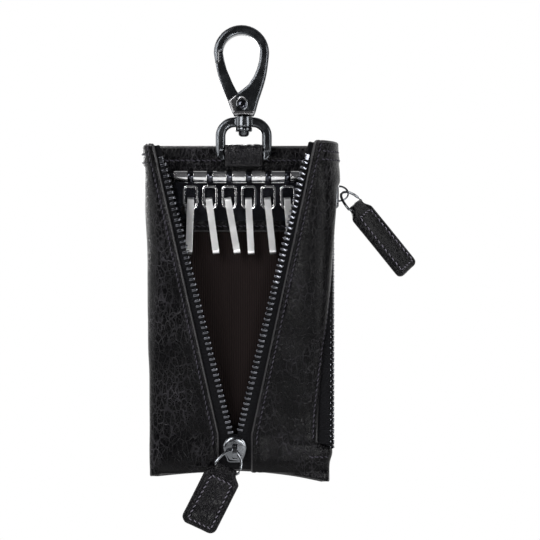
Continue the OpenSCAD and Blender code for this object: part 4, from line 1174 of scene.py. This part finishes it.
# %% Side zip tapes
side_zs = np.linspace(side_foot_z + 0.3, side_top_z - side_slider_l - 0.3, 100)
side_front = [under_front(1, side_zs, v) for v in (0.2, 0.15, 0.1, 0.05, 0.005)]
held = side_front[-1] - 0.8 * unit(side_front[-2] - side_front[-1])
lead = spots(side_chain_x, side_chain_y - 3.1, like=side_zs)
chain = spots(side_chain_x, side_chain_y - 0.8, like=side_zs)
for t in np.linspace(0, 1, 9):
    side_front.append(held * (1 - t) ** 2 + lead * 2 * t * (1 - t) + chain * t**2)
tape_piece("side_front_tape", "side_tape_front", "case", tape_grid(side_front, side_zs), (1, -1, 0))

back_edge_x = right_fold_x - 3
side_back_places = [
    (back_edge_x - 3.5, 4.25), (back_edge_x - 1.5, 4.25), (back_edge_x, 4.25),
    (back_edge_x + 1.0, 4.2), (back_edge_x + 2.0, 4.4), (back_edge_x + 3.0, 4.55),
    (side_chain_x - 0.6, 4.45), (side_chain_x - 0.1, 3.9), (side_chain_x, 2.6),
]
side_back = [spots(x, y, like=side_zs) for x, y in side_back_places]
tape_piece("side_back_tape", "side_tape_back", "case", tape_grid(side_back, side_zs), (1, 1, 0))

# %% [markdown]
# ## Hanger loop
# A strap of leather goes up the inside of the back, over the shackle's bar and down in front, and is
# sewn through below the bar. Its tight bend makes it the most wrinkled leather of the case. The strap
# is drawn as one line from the side, and the line is then spread over its width.

# %% Hanger loop
bar_x, bar_z, loop_w, loop_r = 0.3, -46.6, 13.8, 2.2
loop_middle, sideways_out = np.array([0, 0.2, bar_z]), np.array([0, 1, 1])
wrinkle_stretch = np.array([0.5, 1, 2.5])
loop_turn = np.radians(np.linspace(200, -10, 40))
front_tail = [(0.95, -51.9), (0.55, -50.8), (-0.15, -49.9), (-1.0, -49.0), (-1.7, -48.2)]
over_bar = spots(loop_r * np.cos(loop_turn), bar_z + loop_r * np.sin(loop_turn))
back_tail = [(2.25, -48.2), (2.25, -50.0), (2.25, -51.9)]
strap_y, strap_z = np.concatenate([front_tail, over_bar, back_tail]).T
loop_xs = bar_x + np.linspace(-0.5, 0.5, 36) * loop_w
loop_grid = np.stack([spots(x, strap_y, strap_z) for x in loop_xs], axis=1)
loop_rise = waves(loop_grid, 2.2, 0.6, 5.0) + waves(loop_grid * wrinkle_stretch, 1.2, 0.3, 8.0)
loop_half = leather_t / 2 - 0.05
loop = thick_sheet(
    "hanger_strap", loop_grid, face_normals(loop_grid, (loop_grid - loop_middle) * sideways_out),
    loop_half + loop_rise * 0.6, loop_half, loop_leather, painted_edge,
)
install(loop, "hanger_loop", "case")

# %% [markdown]
# ## Pull tabs
# A pull is a strip of leather folded round the wire ring and sewn to itself, so it has two layers and
# a round neck at the ring. The tab is drawn lying in its own plane, then laid along the direction in
# which it hangs.

# %% Directions of the pulls
tab_w, tab_t, neck_half, corner_r, tab_crown = 15.0, 2.6, 4.6, 3.2, 0.35
ring_reach = 7.7


def squared(along, across):
    """The direction along, turned until it is square to across."""
    along, across = np.asarray(along, float), unit(across)
    return unit(along - (along @ across) * across)


def tab_frame(eye, across, ring_along, along):
    """Origin and the three directions of a tab: across, out of its face, and up."""
    x = unit(across)
    up = -squared(along, across)
    return np.array(eye) + ring_reach * squared(ring_along, across), x, np.cross(up, x), up


def laid(place, points):
    """Points of a tab's own plane, laid where the tab hangs."""
    origin, x, y, up = place
    return origin + points[..., :1] * x + points[..., 1:2] * y + points[..., 2:3] * up


main_place = tab_frame(
    eye=(-3.2, -3.84009, -166.246), across=(0.881, 0.15, -0.449),
    ring_along=(-0.35, -0.13, -0.93), along=(-0.469, -0.02, -0.87),
)
side_place = tab_frame(
    eye=(39.72, 1.7, -63.2), across=(0.497, 0.77, 0.403),
    ring_along=(0.72, -0.1, -0.67), along=(0.63, 0.0, -0.777),
)
main_tab_l, side_tab_l = 26.2, 33.6
print("main pull starts at", main_place[0].round(1), "and the side pull at", side_place[0].round(1))

# %% [markdown]
# The tab is one thick sheet with a crown in the middle, a seam pressed in along its stitches, and a
# pinched neck. Its outline is a plain strip at first. The two corners of its foot are rounded at the
# end, where a grid that got narrower row by row would leave steps.


# %% Pull tabs
def tab_half(down):
    """Half width of a tab at a distance below its ring."""
    return mix(neck_half, tab_w / 2, ease((down - 0.5) / 3.8))


def round_foot(piece, place, length):
    """Turns the square corners of the foot into round ones, as a square is drawn into a disc."""
    origin, turn = place[0], np.array(place[1:])
    points = np.array([v.co for v in piece.data.vertices]) / MM
    local = (points - origin) @ turn.T
    side, low = tab_w / 2 - corner_r, -(length - corner_r)
    across = np.maximum(np.abs(local[:, 0]) - side, 0) / corner_r
    below = np.maximum(low - local[:, 2], 0) / corner_r
    corner = (across > 0) & (below > 0)
    round_x = np.sign(local[:, 0]) * (side + corner_r * across * np.sqrt(1 - below**2 / 2))
    round_z = low - corner_r * below * np.sqrt(1 - across**2 / 2)
    local[corner, 0], local[corner, 2] = round_x[corner], round_z[corner]
    for vertex, spot in zip(piece.data.vertices, origin + local @ turn):
        vertex.co = Vector(spot) * MM


def tab_relief(grid, down, inset, seed):
    """The pressed seam, the puffed middle, the pinched neck and the crumples of one face."""
    seam = -0.2 * bell(inset - 1.5, 0.4) * ease((down - 3.5) / 1)[:, None]
    puff = 0.12 * ease(inset / 2.5) + 0.1 * bell(inset - 0.7, 0.4)
    neck_pinch = -0.35 * bell(down - 3.4, 1.0)[:, None]
    return (seam + puff + neck_pinch + waves(grid, 3.2, 0.16, seed)) * ease(inset / 1.5)


def pull_tab(name, node, body, place, length, seed):
    edge = tab_t / 2 * 0.9
    turn_down = length - corner_r - 1
    near_foot = np.linspace(turn_down, length - edge, 26)[1:]
    down = np.concatenate([np.linspace(0, turn_down, 60), near_foot])
    s = np.linspace(-1, 1, 44)
    half = tab_half(down) - edge
    crown = tab_crown * np.sin(np.pi * down / length)[:, None] * (1 - s**2)[None, :]
    grid = spots(half[:, None] * s[None, :], crown, -down[:, None])
    inset = np.minimum((half + 1.0)[:, None] * (1 - np.abs(s))[None, :], (length - down)[:, None])
    layer = tab_t / 2 - 0.1 + tab_relief(grid, down, inset, seed)
    normals = unit(laid(place, full((0, -1, 0), grid.shape)) - place[0])
    piece = thick_sheet(
        name, laid(place, grid), normals, layer, layer, tab_leather, tab_leather, (1, 0.8, 1, 1)
    )
    round_foot(piece, place, length)
    install(piece, node, body)


pull_tab("main_leather_pull", "main_pull_tab", "main_tab", main_place, main_tab_l, 12.0)
pull_tab("side_leather_pull", "side_pull_tab", "side_tab", side_place, side_tab_l, 31.0)

# %% [markdown]
# ## Stitches
# Every stitch is a short grain of thread that dives into the leather at both ends and lies a little
# aslant. A painted dashed line would be flat, so each stitch is a small closed mesh. A row of them is
# one piece.

# %% Stitch maker
STITCH_SIDES, STITCH_STEPS, STITCH_SLANT = 8, 9, 0.26


def stitch_points(a, b, out, thick):
    """Rings of one stitch from a to b, lying on a face whose outward direction is out."""
    way = unit(b - a)
    side = unit(np.cross(way, out))
    length = np.linalg.norm(b - a)
    turns = [2 * math.pi * k / STITCH_SIDES for k in range(STITCH_SIDES)]
    rings = []
    for i in range(STITCH_STEPS):
        t = i / (STITCH_STEPS - 1)
        swell = math.sin(math.pi * min(max(t, 0.03), 0.97)) ** 0.5
        aslant = side * STITCH_SLANT * (t - 0.5) * 2
        middle = a + way * length * t + aslant + out * thick * (swell * 1.1 - 0.75)
        wide = thick * (0.25 + 0.75 * swell)
        rings.append([middle + (side * math.cos(q) + out * math.sin(q)) * wide for q in turns])
    return rings


def add_stitch(maker, rings):
    made = [[maker.verts.new(Vector(p) * MM) for p in ring] for ring in rings]
    for i in range(STITCH_STEPS - 1):
        for k in range(STITCH_SIDES):
            m = (k + 1) % STITCH_SIDES
            face = maker.faces.new((made[i][k], made[i][m], made[i + 1][m], made[i + 1][k]))
            face.smooth = True
    maker.faces.new(made[0][::-1])
    maker.faces.new(made[-1])


def stitch_row(name, runs, thick=0.25, pitch=stitch_pitch, gap=0.4, material=dark_thread):
    """runs are lines of (points, outward directions); each gets whole stitches along its length."""
    maker = bmesh.new()
    count = 0
    for points, outs in runs:
        points, outs = np.asarray(points, float), np.asarray(outs, float)
        steps = np.linalg.norm(np.diff(points, axis=0), axis=1)
        far = np.concatenate([[0], np.cumsum(steps)])
        number = max(int(round(far[-1] / pitch)), 1)
        own = far[-1] / number

        def at(values, s):
            return np.array([np.interp(s, far, values[:, k]) for k in range(3)])

        for n in range(number):
            start, end = n * own + gap / 2, (n + 1) * own - gap / 2
            out = unit(at(outs, (start + end) / 2))
            add_stitch(maker, stitch_points(at(points, start), at(points, end), out, thick))
        count += number
    mesh = bpy.data.meshes.new(name)
    maker.to_mesh(mesh)
    maker.free()
    mesh.materials.append(material)
    piece = placed(name, mesh)
    print(name, "has", count, "stitches")
    return piece


print("corners of one stitch:", STITCH_SIDES * STITCH_STEPS)

# %% [markdown]
# The rows on curved leather take their places from the same grids as the leather, so they lie in the
# grooves that were pressed into it. One helper follows an edge upwards, and the other runs across
# below the top.


# %% Lines on a sheet
def outer_face(sheet):
    grid, normals, rise = sheet
    return grid + normals * (leather_t / 2 + rise)[..., None]


def column_line(sheet, inset, low, high, from_edge=True):
    """A line on a sheet's outer face at a distance from its edge or its start, between two heights."""
    grid, normals, _ = sheet
    far = edge_distance(grid) if from_edge else start_distance(grid)
    order = slice(None, None, -1) if from_edge else slice(None)
    face = outer_face(sheet)
    points, outs = [], []
    for i in range(len(grid)):
        spot = [np.interp(inset, far[i][order], face[i, order, k]) for k in range(3)]
        if low <= spot[2] <= high:
            points.append(spot)
            outs.append([np.interp(inset, far[i][order], normals[i, order, k]) for k in range(3)])
    return points, outs


def row_line(sheet, below, skip_first, skip_last):
    """A line on a sheet's outer face at a distance below its top."""
    grid, normals, _ = sheet
    face = outer_face(sheet)
    points, outs = [], []
    for j in range(grid.shape[1]):
        z = grid[:, j, 2]
        target = z[-1] - below
        points.append([np.interp(target, z, face[:, j, k]) for k in range(3)])
        outs.append([np.interp(target, z, normals[:, j, k]) for k in range(3)])
    far = edge_distance(grid)[-1]
    keep = (far > skip_last) & (far < far[0] - skip_first)
    return np.array(points)[keep], np.array(outs)[keep]


print("left zip edge line:", len(column_line(left_sheet, stitch_in, zip_foot_z, top_z)[0]), "points")

# %% [markdown]
# The front has a row beside each zip edge and two across each hem. The slit of the side zip has its
# own row, which turns below the zip's foot and ends in a few stitches across.

# %% Stitches of the front
for name, sheet, rule in (("left", left_sheet, left_blend), ("right", right_sheet, right_blend)):
    runs = [column_line(sheet, stitch_in, zip_foot_z - 4.5, top_z + 1.0)]
    runs += [row_line(sheet, line, 1.0, 2.6) for line in hem_lines]
    follow(stitch_row(f"{name}_front_stitches", runs), rule)

slit_run = column_line(right_sheet, slit_in, side_foot_z + 3, side_top_z - 2, from_edge=False)
slit_end_z, slit_end_xs = side_foot_z - 3.3, np.linspace(34.2, 26.6, 12)
face_spots, face_outs = outer_face(right_sheet).reshape(-1, 3), right_sheet[1].reshape(-1, 3)
away = [np.hypot(face_spots[:, 0] - x, face_spots[:, 2] - slit_end_z) for x in slit_end_xs]
nearest = [int(np.argmin(one)) for one in away]
slit_end = (face_spots[nearest], face_outs[nearest])
follow(stitch_row("slit_stitches", [slit_run, slit_end]), right_blend)

# %% [markdown]
# The back and the facing strip are flat, so their rows are straight lines between two places. The
# rim's row goes through both. Inside it leaves out the middle, where the hanger strap is.

# %% Stitches of the back
rim_z = top_z - rim_stitch_down


def flat_run(points, out):
    return np.asarray(points, float), full(out, (len(points), 3))


def level_run(first_x, last_x, y, z, out):
    return flat_run([(first_x, y, z), (last_x, y, z)], out)


slit_zs = np.linspace(side_foot_z + 2, side_top_z - 1, 40)
back_runs = [
    level_run(left_fold_x + 3, right_fold_x - 3, panel_back_y - 0.15, rim_z, (0, 1, 0)),
    flat_run([(right_fold_x - 4.7, panel_back_y, z) for z in slit_zs], (0, 1, 0)),
]
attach(stitch_row("back_stitches", back_runs), "case")
facing_runs = [
    level_run(left_fold_x + 3, -8.4, 2.88, rim_z, (0, -1, 0)),
    level_run(9.0, right_fold_x - 6, 2.88, rim_z, (0, -1, 0)),
    level_run(left_fold_x + 3, right_fold_x - 6.5, 3.05, top_z - facing_stitch_down, (0, -1, 0)),
]
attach(stitch_row("facing_stitches", facing_runs), "case")

# %% [markdown]
# Both faces of a pull show one closed run of paler stitches, a little inside the outline. The run
# follows the tab's crown, so that no stitch floats or sinks.

# %% Stitches of the pulls
tab_seam_in, tab_seam_low, tab_seam_lean = 2.4, 4.6, 0.6


def tab_runs(place, length, face):
    half = tab_w / 2 - tab_seam_in
    y = face * (tab_t / 2 - 0.02)
    top, foot = -tab_seam_low, -length + tab_seam_in
    corners = [(-half + tab_seam_lean, top), (half - tab_seam_lean, top), (half, foot), (-half, foot)]
    runs = []
    for (ax, az), (bx, bz) in zip(corners, corners[1:] + corners[:1]):
        line = mix(np.array([ax, y, az]), np.array([bx, y, bz]), np.linspace(0, 1, 24)[:, None])
        over = 1 - (line[:, 0] / (tab_w / 2)) ** 2
        line[:, 1] += tab_crown * np.sin(-np.pi * line[:, 2] / length) * over
        runs.append((laid(place, line), full(place[2] * face, line.shape)))
    return runs


for name, place, length in (("main", main_place, main_tab_l), ("side", side_place, side_tab_l)):
    runs = tab_runs(place, length, 1) + tab_runs(place, length, -1)
    row = stitch_row(f"{name}_pull_stitches", runs, 0.24, pitch=2.2, gap=0.65, material=pull_thread)
    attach(row, f"{name}_tab")
